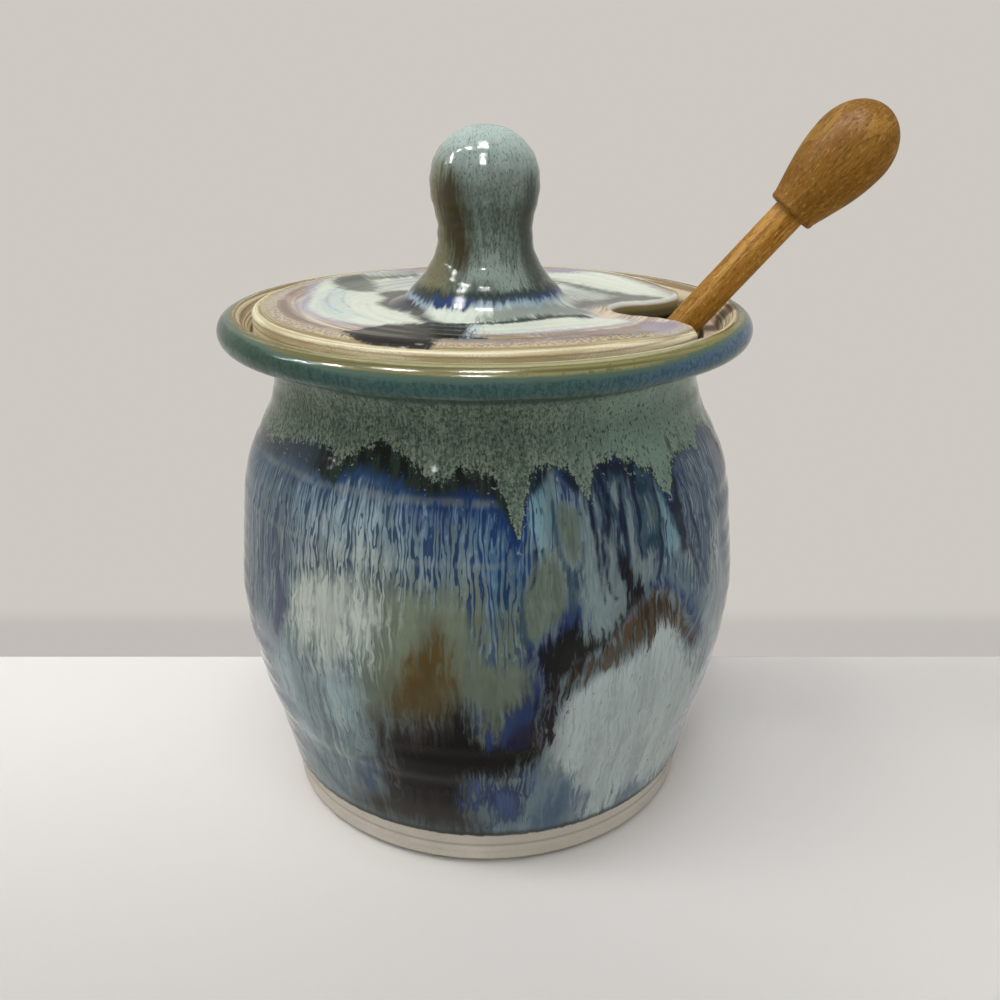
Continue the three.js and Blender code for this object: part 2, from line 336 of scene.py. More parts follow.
class Sheet:
    """The nodes of one material."""

    def __init__(self, name):
        self.material = bpy.data.materials.new(name)
        self.material.use_nodes = True
        self.nodes = self.material.node_tree.nodes
        self.links = self.material.node_tree.links
        self.nodes.clear()
        self.output = self.nodes.new("ShaderNodeOutputMaterial")
        self.shader = self.nodes.new("ShaderNodeBsdfPrincipled")
        self.links.new(self.shader.outputs[0], self.output.inputs[0])

    def put(self, socket, value):
        """Links a signal to a socket, or sets its number. A colour is written as it looks, in steps of 255."""
        if isinstance(value, Signal):
            self.links.new(value.socket, socket)
        elif socket.type == "RGBA":
            socket.default_value = (*srgb(*value), 1.0)
        else:
            socket.default_value = value

    def node(self, kind, inputs, output=0, **settings):
        made = self.nodes.new(kind)
        for key, value in settings.items():
            setattr(made, key, value)
        for key, value in inputs.items():
            self.put(made.inputs[key], value)
        return Signal(self, made.outputs[output])

    def math(self, operation, a, b=0.0):
        return self.node("ShaderNodeMath", {0: a, 1: b}, operation=operation)

    def mark(self, name):
        return self.node("ShaderNodeAttribute", {}, "Fac", attribute_name=name)

    def vector_mark(self, name):
        return self.node("ShaderNodeAttribute", {}, "Vector", attribute_name=name)

    def place(self):
        """Place on the object in millimetres."""
        here = self.node("ShaderNodeTexCoord", {}, "Object")
        return self.vector_math("MULTIPLY", here, (1 / MM, 1 / MM, 1 / MM))

    def vector_math(self, operation, *inputs):
        return self.node("ShaderNodeVectorMath", dict(enumerate(inputs)), operation=operation)

    def noise(self, vector, scale, detail=3.0, roughness=0.5, warp=0.0, shift=0.0, output=0):
        """Fractal noise from 0 to 1, with scale in cycles per millimetre."""
        place = self.vector_math("MULTIPLY_ADD", vector, scale, (shift, shift, shift))
        inputs = {"Vector": place, "Scale": 1.0, "Detail": detail, "Roughness": roughness, "Distortion": warp}
        return self.node("ShaderNodeTexNoise", inputs, output)

    def step(self, value, low, high, start=0.0, end=1.0):
        """Rises smoothly from start to end as value goes from low to high."""
        return self.node(
            "ShaderNodeMapRange",
            {"Value": value, "From Min": low, "From Max": high, "To Min": start, "To Max": end},
            interpolation_type="SMOOTHSTEP",
        )

    def band(self, value, low, full, falling, high):
        """Rises smoothly from 0 at low to 1 at full, and from falling it goes back to 0 at high."""
        return self.step(value, low, full) * self.step(value, high, falling)

    def close(self, value, core, reach):
        """1 where the value is within core of 0, and smoothly less up to reach."""
        return self.step(self.math("ABSOLUTE", value), reach, core)

    def blend(self, factor, a, b):
        """From colour a to colour b as the factor goes from 0 to 1."""
        return self.node("ShaderNodeMix", {0: factor, 6: a, 7: b}, 2, data_type="RGBA")

    def coat(self, under, value, low, high, over, strength=None):
        """One colour over another: it starts where the value passes low, and covers in full past high."""
        cover = self.step(value, low, high)
        return self.blend(cover if strength is None else cover * strength, under, over)

    def lay(self, under, drawings, names, edge):
        """Lays the named drawings over a colour. Edge gives the distance inside one, ragged and streaked."""
        for name in names:
            colour, soft, ragged_by, streaked_by, strength, _ = drawings[name]
            under = self.coat(under, edge(name, ragged_by, streaked_by), -soft, soft, colour, strength)
        return under

    def shade(self, colour, amount):
        """A colour made lighter or darker by a factor."""
        grey = self.node("ShaderNodeCombineXYZ", {0: amount, 1: amount, 2: amount})
        return self.vector_math("MULTIPLY", colour, grey)

    def relief(self, height, distance):
        return self.node("ShaderNodeBump", {"Strength": 1.0, "Distance": distance, "Height": height})

    def finish(self, colour, roughness, normal=None, **fixed):
        self.put(self.shader.inputs["Base Color"], colour)
        self.put(self.shader.inputs["Roughness"], roughness)
        if normal is not None:
            self.put(self.shader.inputs["Normal"], normal)
        for key, value in fixed.items():
            self.shader.inputs[key.replace("_", " ")].default_value = value
        return self.material


# Glaze drawings on the pot. Points are (degrees from the front, millimetres above the table), and
# a third number makes them the path of a brush stroke with that half width in millimetres.
DEGREE = 0.9  # millimetres of wall for each degree

# The speckled upper glaze ends at the first line. Blue glaze starts under the second, and black-green
# glass has pooled between them.
SPECKLE_LINE = [
    (-62, 82.6), (-55, 83), (-50, 83.4), (-45, 84.4), (-40, 84.2), (-36, 83), (-33, 83.4), (-30, 84.6), (-27, 86),
    (-23, 86.6), (-19, 85.4), (-16, 84.2), (-13, 82.6), (-11, 81.6), (-9, 82), (-7, 83), (-3, 83.4), (0, 82.8),
    (2.4, 81.4), (3.8, 79.4), (5, 76), (6, 72.6), (6.9, 74), (7.8, 78.6), (8.8, 81.6), (10, 83), (12.5, 83.7),
    (15.5, 83.5), (18, 82.6), (19.6, 81), (20.6, 79.2), (21.6, 77.9), (22.5, 80), (23.8, 82.4), (26, 83.4),
    (30, 83.4), (33.4, 82.7), (36, 81.3), (38.6, 80), (40.2, 77.6), (41.6, 74.9), (42.8, 74.6), (44, 77.4),
    (45.4, 79.8), (48, 81), (52, 81.7), (56, 81.2), (58, 80), (62, 81),
]
BLUE_LINE = [
    (-62, 80.4), (-52, 80.2), (-44, 79.4), (-38, 79), (-34.6, 79.2), (-32.6, 80.8), (-29, 82), (-25, 81.8), (-20, 81),
    (-16, 80.2), (-13, 79.4), (-10.5, 79), (-7, 79.8), (-3, 79.8), (0.6, 79.2), (3, 77.6), (4.6, 75.4), (6, 72.2),
    (7, 75), (8.2, 79.6), (10, 82.4), (12.5, 83.3), (15.5, 83.1), (18, 82), (19.8, 80.2), (21.6, 77.6), (23, 80.4),
    (25, 82.7), (30, 82.9), (33.6, 82.1), (37, 80.4), (39.6, 78), (41.8, 74.2), (43.8, 75.6), (45.6, 79), (49, 80.9),
    (53, 81.5), (57, 80.6), (62, 80.4),
]
RIVULET_END = [
    (-62, 49), (-53, 49), (-47.6, 47), (-44, 57), (-40, 60.5), (-30, 62.5), (-20, 62.5), (-14, 61.5), (-8, 62.5),
    (-4, 59), (-1, 51), (3, 48), (6.5, 49), (8.5, 58), (12, 62), (20, 60), (27, 60), (30, 66), (38, 62), (44, 58),
    (50, 52), (56, 54), (62, 50),
]
ROYAL_SHARE = [
    (-62, 0), (-34, 0.05), (-30, 0.3), (-22, 0.12), (-17, 0.5), (-8, 0.75), (0, 0.9), (6, 1), (10, 0.7), (14, 0.4),
    (22, 0.5), (34, 0.5), (42, 0.4), (47, 0.1), (62, 0),
]
RIVULET_PITCH = 1.2
THROWN_RINGS = 14  # shallow waves that throwing leaves on the wall
GLAZE_THICKNESS = 0.28
FOOT_GROOVE = 4.9  # height of the line cut into the bare foot
GLAZE_DROP_HEIGHT = 1.7
GLAZE_DROPS = [(-36, 80.8, 3.2, 0.75), (-13, 82.2, 3.0, 0.65), (27.6, 81, 2.0, 0.5)]  # turn, height, breadth, rise
DRAWN_HALF = 60  # degrees drawn on either side of the front
COPIED_HALF = 58
COPIES = ((118.0, 1.4), (-118.0, -1.8))  # mirrored round the back: turn and rise

# Each layer: colour, softness, raggedness, streakiness and strength, then its shapes.
POT_LAYERS = {
    "middle": ((106, 115, 97), 5, 4, 15, 0.95, [
        [(-25, 64), (-16, 66), (-6, 66), (2, 66), (8, 64), (8.4, 56), (8.2, 50), (8.6, 44), (6, 40), (3, 37),
        (0, 34.5), (-2.5, 36), (-3, 41), (-8, 41), (-19, 40), (-24, 37), (-26, 44), (-24, 56)]]),
    "grey_tongue": ((92, 101, 88), 3.4, 5, 16, 0.8, [
        [(-3, 60), (4, 62), (7.6, 56), (8.4, 48), (5, 41), (1.6, 35), (-1.4, 35.4), (-2.4, 42), (-4, 50)]]),
    "cream": ((176, 183, 173), 5.5, 5, 22, 0.95, [
        [(-45, 60), (-40, 64.5), (-33, 65.5), (-27, 64.5), (-23, 60), (-24, 54), (-28, 49.5), (-36, 47.5), (-42, 49),
        (-45, 54)]]),
    "pale_right": ((166, 176, 174), 2.4, 5, 9, 0.95, [
        [(11.6, 31), (13, 37), (15, 41.6), (18, 44.6), (23, 47), (29, 48.4), (33, 50), (36.4, 53), (39, 54),
        (41.4, 52), (44.6, 47.4), (48.6, 42), (54, 36), (60, 32), (64, 26), (64, 12), (54, 10.5), (24, 9), (20, 13),
        (19, 22), (14, 27)]]),
    "far_right": ((136, 146, 150), 3.4, 5, 11, 0.85, [
        [(58.6, 80), (66, 80), (70, 60), (66, 38), (57, 39), (53.6, 49), (56, 58), (58.4, 67)]]),
    "left_wash": ((148, 167, 171), 4.5, 6, 20, 0.92, [
        [(-36, 47), (-29, 46), (-27, 40), (-29, 33), (-36, 33)], [(-52, 44), (-44, 45), (-42, 34), (-45, 22),
        (-52, 24)], [(-24, 62), (-20, 63), (-19, 56), (-23, 53), (-26, 56)], [(-27.6, 33), (-23, 34), (-22, 30),
        (-27, 29)]]),
    "left_pale": ((110, 124, 127), 4.5, 6, 20, 0.7, [
        [(-44, 46), (-39, 45), (-38, 38), (-41, 28), (-44, 30)], [(-34, 31), (-27, 28), (-26, 24), (-32, 23),
        (-37, 26)], [(-44, 21), (-37, 22), (-34, 17), (-40, 14)]]),
    "violet_left": ((98, 103, 116), 3, 5, 4, 0.7, [
        [(-62, 37), (-56, 41), (-50, 44), (-49, 48.5), (-53, 49), (-62, 45)], [(-62, 28), (-55, 31), (-49, 29),
        (-52, 25), (-62, 24)], [(-37, 12.4), (-33.4, 16.6), (-29.4, 15.4), (-29.6, 12), (-34, 10.8)]]),
    "left_curve": ((80, 92, 106), 0.9, 2, 2, 0.85, [
        [(-49, 21, 0.4), (-46.4, 17, 0.9), (-42, 13.4, 0.9), (-37, 10.6, 0.7)], [(-23.6, 29, 0.3), (-24.8, 26.4, 0.5),
        (-31, 23.6, 0.5), (-33, 18, 0.4)]]),
    "low_blue": ((106, 124, 134), 2, 4, 10, 0.85, [
        [(5.6, 26), (8, 28.6), (10.6, 28.8), (13, 25), (18.6, 21), (20.6, 16), (21, 8.6), (0, 8.4), (2, 12),
        (8.6, 14), (7.6, 21)]]),
    "low_blue_deep": ((64, 84, 106), 2, 5, 13, 0.7, [
        [(11.6, 9), (11.4, 15), (14, 17), (18, 20.6), (20, 17), (18.6, 9)], [(6.4, 19), (7.6, 25.6), (10.6, 26),
        (10, 20)], [(35, 9.4), (34.6, 12), (39, 13), (43, 12), (42.4, 9.4)], [(20.6, 12), (22, 16.6), (24.6, 15.4),
        (23.4, 11)]]),
    "slate": ((66, 88, 108), 1.6, 3, 7, 0.95, [
        [(45.6, 79.6), (50, 81.4), (56.4, 81), (58.4, 76), (58.2, 68), (56.4, 62), (54, 55), (50, 49), (45.4, 54),
        (47.6, 60), (46.4, 66), (46, 72)]]),
    "slate_light": ((104, 116, 126), 1.4, 4, 8, 0.8, [
        [(50.6, 79.4), (55.6, 79), (56.6, 75), (54, 72.6), (52.6, 68), (50, 70), (49, 75)], [(56.6, 70), (58, 72),
        (60, 68), (58.4, 62), (56.8, 64)], [(49, 60), (51.6, 61), (54, 55), (51, 50), (48.4, 54)]]),
    "lobe_base": ((58, 80, 94), 1.4, 3, 5, 0.9, [
        [(19.6, 80), (23, 82), (30, 83), (36, 81.4), (38.8, 77), (38.6, 64), (33, 61), (28.4, 63), (25.6, 69),
        (20.4, 74)]]),
    "scratchy": ((92, 112, 120), 1.2, 5, 3, 0.95, [
        [(37.4, 65.8), (44, 65.6), (47, 62), (48.6, 57), (46, 54.6), (41, 57.6), (37.8, 60.4)]]),
    "blue_right": ((110, 146, 154), 1, 3, 5, 0.9, [
        [(38.2, 78.6), (40, 76), (41.6, 72), (43.6, 66.4), (40, 64.6), (38.4, 66)], [(9.4, 79.6), (11.6, 81.4),
        (14.4, 80), (14, 75), (12, 70.6), (9.4, 70)]]),
    "night": ((22, 30, 46), 0.9, 3, 3, 0.95, [
        [(39.8, 78.6), (42.4, 74.4), (44, 77), (45.8, 79.4), (46, 74), (45.9, 69), (46.6, 64.6), (44.4, 64.8),
        (42.4, 69.6), (41.2, 73)], [(24.6, 83.2), (30, 83.4), (34.8, 82.6), (34, 80.2), (31, 80.6), (29.6, 79.8),
        (28, 81), (26, 80)], [(9, 80), (10.2, 83), (14, 83.6), (13, 81.6), (10.4, 79.6)], [(16, 81.6), (17, 83),
        (19.8, 81.4), (20.4, 78.6), (18.6, 79)]]),
    "olive_lobes": ((94, 106, 92), 1.3, 3, 3, 0.95, [
        [(7.2, 63), (8.4, 66.4), (10.4, 69), (13, 70.4), (14.4, 67), (15.2, 64), (15.4, 59), (13.6, 57), (11.4, 55.2),
        (9.6, 54.4), (8, 56.4), (7, 60)], [(14.4, 77.4), (16.4, 77.6), (18.6, 76), (19.2, 72.4), (18.6, 68.8),
        (17.4, 67.4), (16, 68), (14.9, 70.6), (14.2, 74)], [(35, 74.8), (36.4, 75), (36.8, 72.8), (35.4, 71.8)]]),
    "pale_lobes": ((112, 127, 128), 1, 2, 5, 0.95, [
        [(19.6, 66), (18.9, 61), (19, 57), (20.2, 54.6), (22.4, 53.8), (25.6, 54.8), (27.8, 57), (28.4, 59.4),
        (27.4, 62), (26, 66), (24.6, 71), (21, 73), (20, 70)], [(29.8, 66), (29.9, 63.6), (31.6, 61.5), (34, 60.8),
        (35.9, 62), (36.4, 64.6), (35.8, 66.4), (32, 67)], [(26.6, 78), (27.2, 79.8), (28.8, 79.2), (29, 76.8),
        (27.6, 75.4)], [(30.9, 80, 0.35), (30.4, 76, 0.7), (30.2, 71, 0.95), (30.7, 67, 1.1), (31.4, 64, 1.3)],
        [(20.2, 79, 0.4), (20, 74, 0.45), (20, 69, 0.6)], [(11.4, 69, 0.4), (11.8, 74, 0.5), (12.8, 79, 0.5),
        (14.2, 82.6, 0.3)], [(22.9, 78, 0.3), (22.7, 72, 0.35), (22.8, 66, 0.3)], [(25.2, 74, 0.3), (25.6, 69, 0.5),
        (25.2, 66, 0.5)]]),
    "teal": ((26, 52, 66), 1, 3, 4, 0.9, [
        [(32.8, 79.2), (36, 79.6), (38, 77), (38.4, 70), (38, 65), (33.4, 64.6), (33, 70), (33.6, 75), (34.2, 76.8),
        (37, 76.6), (37.4, 73), (36.2, 70.2), (33.9, 70.4), (33.8, 76)]]),
    "dark_lines": ((20, 28, 50), 0.35, 1.2, 0.8, 0.95, [
        [(21.8, 78.6, 0.4), (21.7, 74, 0.5), (22.2, 70, 0.45), (22.4, 66, 0.35), (23, 62.6, 0.25), (23.5, 59.5, 0.1)],
        [(23.4, 80, 0.4), (24.2, 75.6, 0.35), (23.4, 71, 0.3), (23.8, 66, 0.3), (24.7, 62, 0.25), (26, 60, 0.3)],
        [(24.6, 81.4, 0.7), (25.6, 78, 0.5), (25.1, 74, 0.55), (24.4, 70, 0.35), (24.2, 65, 0.25)], [(26.3, 78, 0.3),
        (27.4, 73.6, 0.3), (26.8, 70, 0.35), (27.2, 66, 0.45), (28, 63.6, 0.5)], [(29.5, 79.4, 0.4), (28.8, 76, 0.6),
        (28.5, 73, 0.75), (29.2, 69.4, 0.4), (28.8, 66, 0.45), (28.4, 64, 0.6)], [(31.4, 81, 0.5), (30.9, 78.6, 0.3)],
        [(33.4, 80.4, 0.9), (32.5, 77, 0.45), (32.7, 73, 0.4), (32.1, 70, 0.3), (32.6, 66, 0.25)], [(38.2, 79, 0.3),
        (38.3, 73, 0.3), (38.1, 68, 0.3), (37.6, 63.4, 0.5), (36.8, 61.2, 0.5)], [(10.8, 70.6, 0.35),
        (11.2, 68.4, 0.2)], [(9.4, 70.6, 0.5), (9.2, 66.4, 0.3), (8.4, 64, 0.2)], [(46.4, 66, 0.35), (48.4, 63, 0.35),
        (50, 60, 0.3), (51, 56, 0.3)], [(47.6, 76, 0.2), (48.8, 70, 0.3), (51, 64, 0.35), (52.6, 58, 0.25)]]),
    "teal_lines": ((44, 66, 80), 0.5, 1.6, 1.2, 0.85, [
        [(13.4, 78, 0.35), (13.6, 73, 0.5), (14.6, 69, 0.5), (16, 66.6, 0.6), (17.6, 66, 0.5), (18.9, 67.6, 0.4),
        (19.3, 71, 0.35)], [(16.4, 66, 0.7), (16.7, 62, 0.9), (16.6, 58, 1.3), (17, 55.5, 1.5)], [(7, 66, 0.3),
        (6.6, 60, 0.4), (7.2, 55, 0.7), (8.4, 53.4, 0.8)], [(54.6, 76, 0.3), (55, 70, 0.7), (56.6, 65.4, 0.6)]]),
    "left_streaks": ((66, 74, 94), 0.7, 2.4, 2, 0.9, [
        [(-50, 72, 0.3), (-49.6, 66, 0.6), (-49.2, 60, 0.7), (-48.4, 56.5, 1.2), (-48, 54, 1.7), (-48.8, 51, 1.2),
        (-49.8, 47, 0.6)], [(-52.6, 68, 0.3), (-52.8, 58, 0.4), (-52, 51, 0.3)], [(-56, 69, 0.4), (-56.6, 60, 0.6),
        (-55.4, 50, 0.3)], [(-46.4, 66, 0.3), (-46.2, 60, 0.5), (-45.2, 54, 0.3)]]),
    "blotch": ((56, 68, 90), 2, 4, 8, 0.85, [
        [(-31.8, 17.2), (-31, 21), (-29, 24), (-25.8, 25), (-23.6, 23), (-23.4, 20), (-25.6, 18.2), (-28, 20),
        (-28.8, 17)]]),
    "halo": ((92, 94, 74), 4, 5, 14, 0.75, [
        [(-22.6, 38), (-19, 43), (-16.4, 51), (-10, 58), (-7.4, 53), (-6.8, 44), (-6, 40), (-12, 36), (-20, 33)]]),
    "rust": ((82, 70, 42), 3, 3, 8, 0.95, [
        [(-9.3, 57), (-8.5, 53), (-7.7, 48), (-7.3, 42), (-7.6, 38), (-13, 38), (-18.6, 39), (-18.6, 43), (-16.8, 47),
        (-15.4, 51), (-12.6, 52.6), (-10.6, 54.6)]]),
    "rust_deep": ((78, 58, 24), 1.4, 3, 9, 0.6, [
        [(-9.2, 55.6), (-8.6, 52), (-8.2, 48), (-9.6, 46), (-12.6, 49), (-12.4, 52)], [(-16.6, 45.4), (-14, 47),
        (-12.4, 45), (-15, 43.4)]]),
    "brown": ((48, 42, 35), 5, 5, 10, 0.95, [
        [(-34, 10), (-32, 14), (-28, 17), (-25, 19), (-24.6, 23), (-25, 28), (-25.6, 32), (-23, 35.6), (-17, 38),
        (-12, 39.6), (-6, 40.6), (-2.8, 40.4), (-2.4, 36), (-1.4, 34), (0.5, 33.6), (2, 35.4), (4, 38), (6, 41),
        (8.6, 43), (9.6, 46), (10.8, 47), (10.8, 42), (10.4, 36), (10.4, 31), (8, 28.6), (5.4, 26.4), (3.4, 24.5),
        (0, 25), (-3.6, 25), (-4.4, 22), (-4.4, 17), (-3, 13), (-1, 9), (-8, 8), (-22, 8.4)]]),
    "dark": ((20, 16, 13), 4, 4, 9, 0.95, [
        [(-22, 18.4), (-21.4, 24), (-21.6, 29), (-20, 33), (-14, 33.4), (-9, 37), (-5, 39.6), (-3, 38.6),
        (-2.2, 34.6), (0.5, 33.2), (3, 35), (6, 40), (9, 43.4), (10, 41), (10.2, 34), (9.8, 30.4), (6, 27),
        (3.4, 24.4), (-3.6, 24.6), (-4.8, 21), (-4.8, 17), (-13, 17.4)]]),
    "black": ((8, 5, 3), 2.4, 4, 9, 0.95, [
        [(-15, 26), (-16.4, 28.6), (-12, 31), (-9, 32.6), (-4, 37), (-2.6, 34), (1, 32.8), (5, 34.6), (7.4, 34),
        (9.6, 31), (8, 29), (5, 26), (2, 25.2), (-4, 25.4), (-10, 25.2)]]),
    "indigo": ((38, 55, 96), 1.8, 4, 8, 0.92, [
        [(-2.9, 40.8), (-1, 39.6), (-1.2, 36.4), (1.6, 35.2), (3.4, 37.6), (4.8, 40.6), (7.2, 42), (8.4, 44),
        (8.6, 48), (7.8, 51.6), (9.4, 53.6), (12.4, 55.8), (14.4, 58.6), (16, 60.6), (18.2, 59.6), (19, 56),
        (16.6, 54), (12.8, 51.8), (11.6, 48), (11.2, 43), (9.4, 39.4), (7.4, 36), (4, 34.4), (0, 33.4)], [(29.4, 61),
        (31, 61.6), (33, 60.4), (36, 61.2), (38.4, 61), (41.4, 58.6), (44.8, 56), (48, 52), (51.4, 46), (50, 45),
        (46, 50.6), (42.6, 55), (39.4, 58), (35.6, 59), (31.6, 58.6)]]),
    "violet": ((30, 30, 56), 1.2, 3, 2, 0.8, [
        [(4.4, 31.6), (5, 35.4), (7.4, 38), (9.6, 36.6), (8.6, 32.6)], [(9.6, 37), (10.6, 44), (11.8, 44),
        (11, 37)]]),
    "core": ((18, 14, 11), 1.4, 3, 8, 0.96, [
        [(10.6, 31), (11.8, 36), (12.6, 41), (13.8, 44.5), (16, 47), (19, 48.8), (23, 50.8), (27, 52.8), (29, 55.4),
        (31, 58.6), (32.4, 59.8), (31, 61.6), (29.6, 64), (28.4, 66.6), (27.5, 66.4), (28.8, 63), (29.3, 60.6),
        (29, 58.4), (26.6, 56), (24, 54.2), (21.5, 53.6), (19.2, 55), (17.6, 57.2), (16, 56.4), (13, 54.4),
        (10.4, 52.6), (9.3, 51.4), (9.6, 48.8), (11.2, 46.6), (11.2, 41), (10.2, 36)]]),
    "umber": ((42, 32, 25), 1.6, 3, 11, 0.92, [
        [(27, 53), (29.4, 56), (31.6, 58.6), (35.4, 59.4), (39, 58.2), (42.4, 54.8), (46, 50.4), (49.6, 45),
        (48.6, 44.2), (44.6, 48.4), (41.6, 52.2), (38.6, 54), (36, 54), (32.6, 51.8)], [(10.8, 34), (12, 40),
        (13.4, 44.6), (14.4, 44), (13, 39.4), (12, 34)]]),
    "indigo_low": ((38, 51, 84), 1.8, 5, 12, 0.92, [
        [(-4.4, 22), (-3.6, 24.8), (0, 25.6), (1, 24), (3, 22), (6, 25), (7, 22), (8.4, 19), (8.4, 15), (7, 12.4),
        (4, 11), (0.4, 11.6), (-1, 15), (-4.2, 16)]]),
    "indigo_light": ((66, 82, 114), 1.8, 5, 12, 0.85, [
        [(1, 13), (1, 17), (3, 19.4), (5.4, 18.6), (6.6, 16), (6, 13.6), (3.6, 12.2)], [(-3.4, 18), (-2.8, 22),
        (-1.6, 22.6), (-1.2, 18)], [(-29.2, 17.6), (-28.8, 20), (-27.4, 20), (-27.4, 18)]]),
}

# The streaked edge of the diagonal band.
FRINGE = [
    [(11.8, 33), (12.6, 38), (13.6, 42), (15, 45.6), (18, 48.6), (22, 51), (26, 53), (29.5, 55.4), (33, 57.4),
    (36, 58), (39.4, 57), (42.6, 53.8), (46, 49.2), (48.8, 45), (47, 44.8), (44, 48), (41.4, 51), (38.8, 52.8),
    (36, 52.8), (33, 50.2), (29, 48.4), (24, 47.2), (19, 45), (15.8, 42.6), (13.8, 38.6), (12.8, 34)],
]


def wrapped(table, degrees):
    """A table of (degrees, value) over the whole turn: as drawn at the front, and mirrored round the back."""
    table = np.array(table, float)
    rows = [table[np.abs(table[:, 0]) < DRAWN_HALF]]
    has_heights = table[:, 1].max() > 1  # and not shares, which stay as they are in the copies
    for turn, rise in COPIES:
        copy = table[np.abs(table[:, 0]) < COPIED_HALF].copy()
        copy[:, 0] = turn - copy[:, 0]
        copy[:, 1] += rise * has_heights
        rows.append(copy)
    table = np.vstack(rows)
    table[:, 0] = (table[:, 0] + 180) % 360 - 180
    table = table[np.argsort(table[:, 0])]
    return np.interp(degrees, table[:, 0], table[:, 1], period=360)


def drawn_round(degrees, height, shapes):
    """Distance inside a drawing on the pot's wall, as drawn at the front and mirrored round the back."""
    shapes = scaled(shapes, DEGREE)
    best = drawn(degrees * DEGREE, height, shapes)
    for turn, rise in COPIES:
        across = (turn - degrees + 180) % 360 - 180
        best = np.maximum(best, drawn(across * DEGREE, height - rise, shapes))
    return best


# The pot

LOWER_SHARES = [(0, 0), (0.1, 0.07), (0.23, 0.21), (0.4, 0.41), (0.57, 0.68), (0.78, 0.9)]
UPPER_SHARES = [(0, 1), (0.24, 0.91), (0.44, 0.82), (0.58, 0.72), (0.68, 0.57), (0.78, 0.36), (0.88, 0.14), (1, 0)]


def outer_wall():
    start = FOOT_RADIUS + FOOT_BEVEL
    lower = [(mix(start, BELLY_RADIUS, s), mix(FOOT_BEVEL, BELLY_HEIGHT, r)) for r, s in LOWER_SHARES]
    upper = [(mix(NECK_RADIUS, BELLY_RADIUS, s), mix(BELLY_HEIGHT, NECK_HEIGHT, r)) for r, s in UPPER_SHARES]
    return spline(lower + upper, 12)


def pot_profile():
    """The profile, and the numbers of its points at the neck and where the bead meets the gallery."""
    wall = outer_wall()
    centre = (RIM_RADIUS - BEAD_RADIUS, POT_HEIGHT - BEAD_RADIUS)
    bead_bottom = centre[1] - BEAD_RADIUS
    foot = rounded([(0, 0, 0), (FOOT_RADIUS - 0.5, 0, 0.6), (FOOT_RADIUS + FOOT_BEVEL - 0.1, FOOT_BEVEL, 0)])
    outside = evened(np.vstack([foot[1:-1], wall]), FINE_STEP)
    underside = bezier(
        (NECK_RADIUS, NECK_HEIGHT),
        (NECK_RADIUS, mix(NECK_HEIGHT, bead_bottom, 0.6)),
        (mix(NECK_RADIUS, centre[0], 0.3), bead_bottom),
        (centre[0], bead_bottom),
        14,
    )
    bead = arc(centre, BEAD_RADIUS, -90, 108, 22)
    upright = SEAT_HEIGHT + GALLERY_DEPTH * 0.33
    inner = wall[(wall[:, 1] > FLOOR_THICKNESS + FLOOR_FILLET) & (wall[:, 1] < NECK_HEIGHT)][::-1]
    inner = np.stack([inner[:, 0] - WALL, inner[:, 1]], 1)
    gallery = rounded(
        [
            (*bead[-1], 0),
            (GALLERY_RADIUS, upright, 0.6),
            (GALLERY_RADIUS, SEAT_HEIGHT, 0.35),
            (LEDGE_RADIUS, SEAT_HEIGHT, 0.3),
            (LEDGE_RADIUS, SEAT_HEIGHT - LEDGE_THICKNESS, 0.3),
            (*inner[0], 0),
        ],
        2,
    )
    corner_height = FLOOR_THICKNESS + FLOOR_FILLET
    corner_radius = np.interp(corner_height, wall[:, 1], wall[:, 0]) - WALL
    corner = arc((corner_radius - FLOOR_FILLET, corner_height), FLOOR_FILLET, 0, -90, 10)
    inner = evened(np.vstack([inner, corner]), COARSE_STEP)
    floor = evened([(corner[-1][0], FLOOR_THICKNESS), (0, FLOOR_THICKNESS)], FLOOR_STEP)
    profile = np.vstack([[(0, 0)], outside, underside[1:], bead[1:], gallery[1:-1], inner, floor[1:]])
    return profile, len(outside), len(outside) + len(underside) + len(bead) - 2


def pot_angles():
    """Azimuths of the pot's sides, closer together on the side with the finest drawing."""
    front = np.arange(-FINE_SIDE, FINE_SIDE, FINE_TURN)
    back = np.arange(FINE_SIDE, 360 - FINE_SIDE, COARSE_TURN)
    return np.radians(np.r_[front, back] + FRONT)


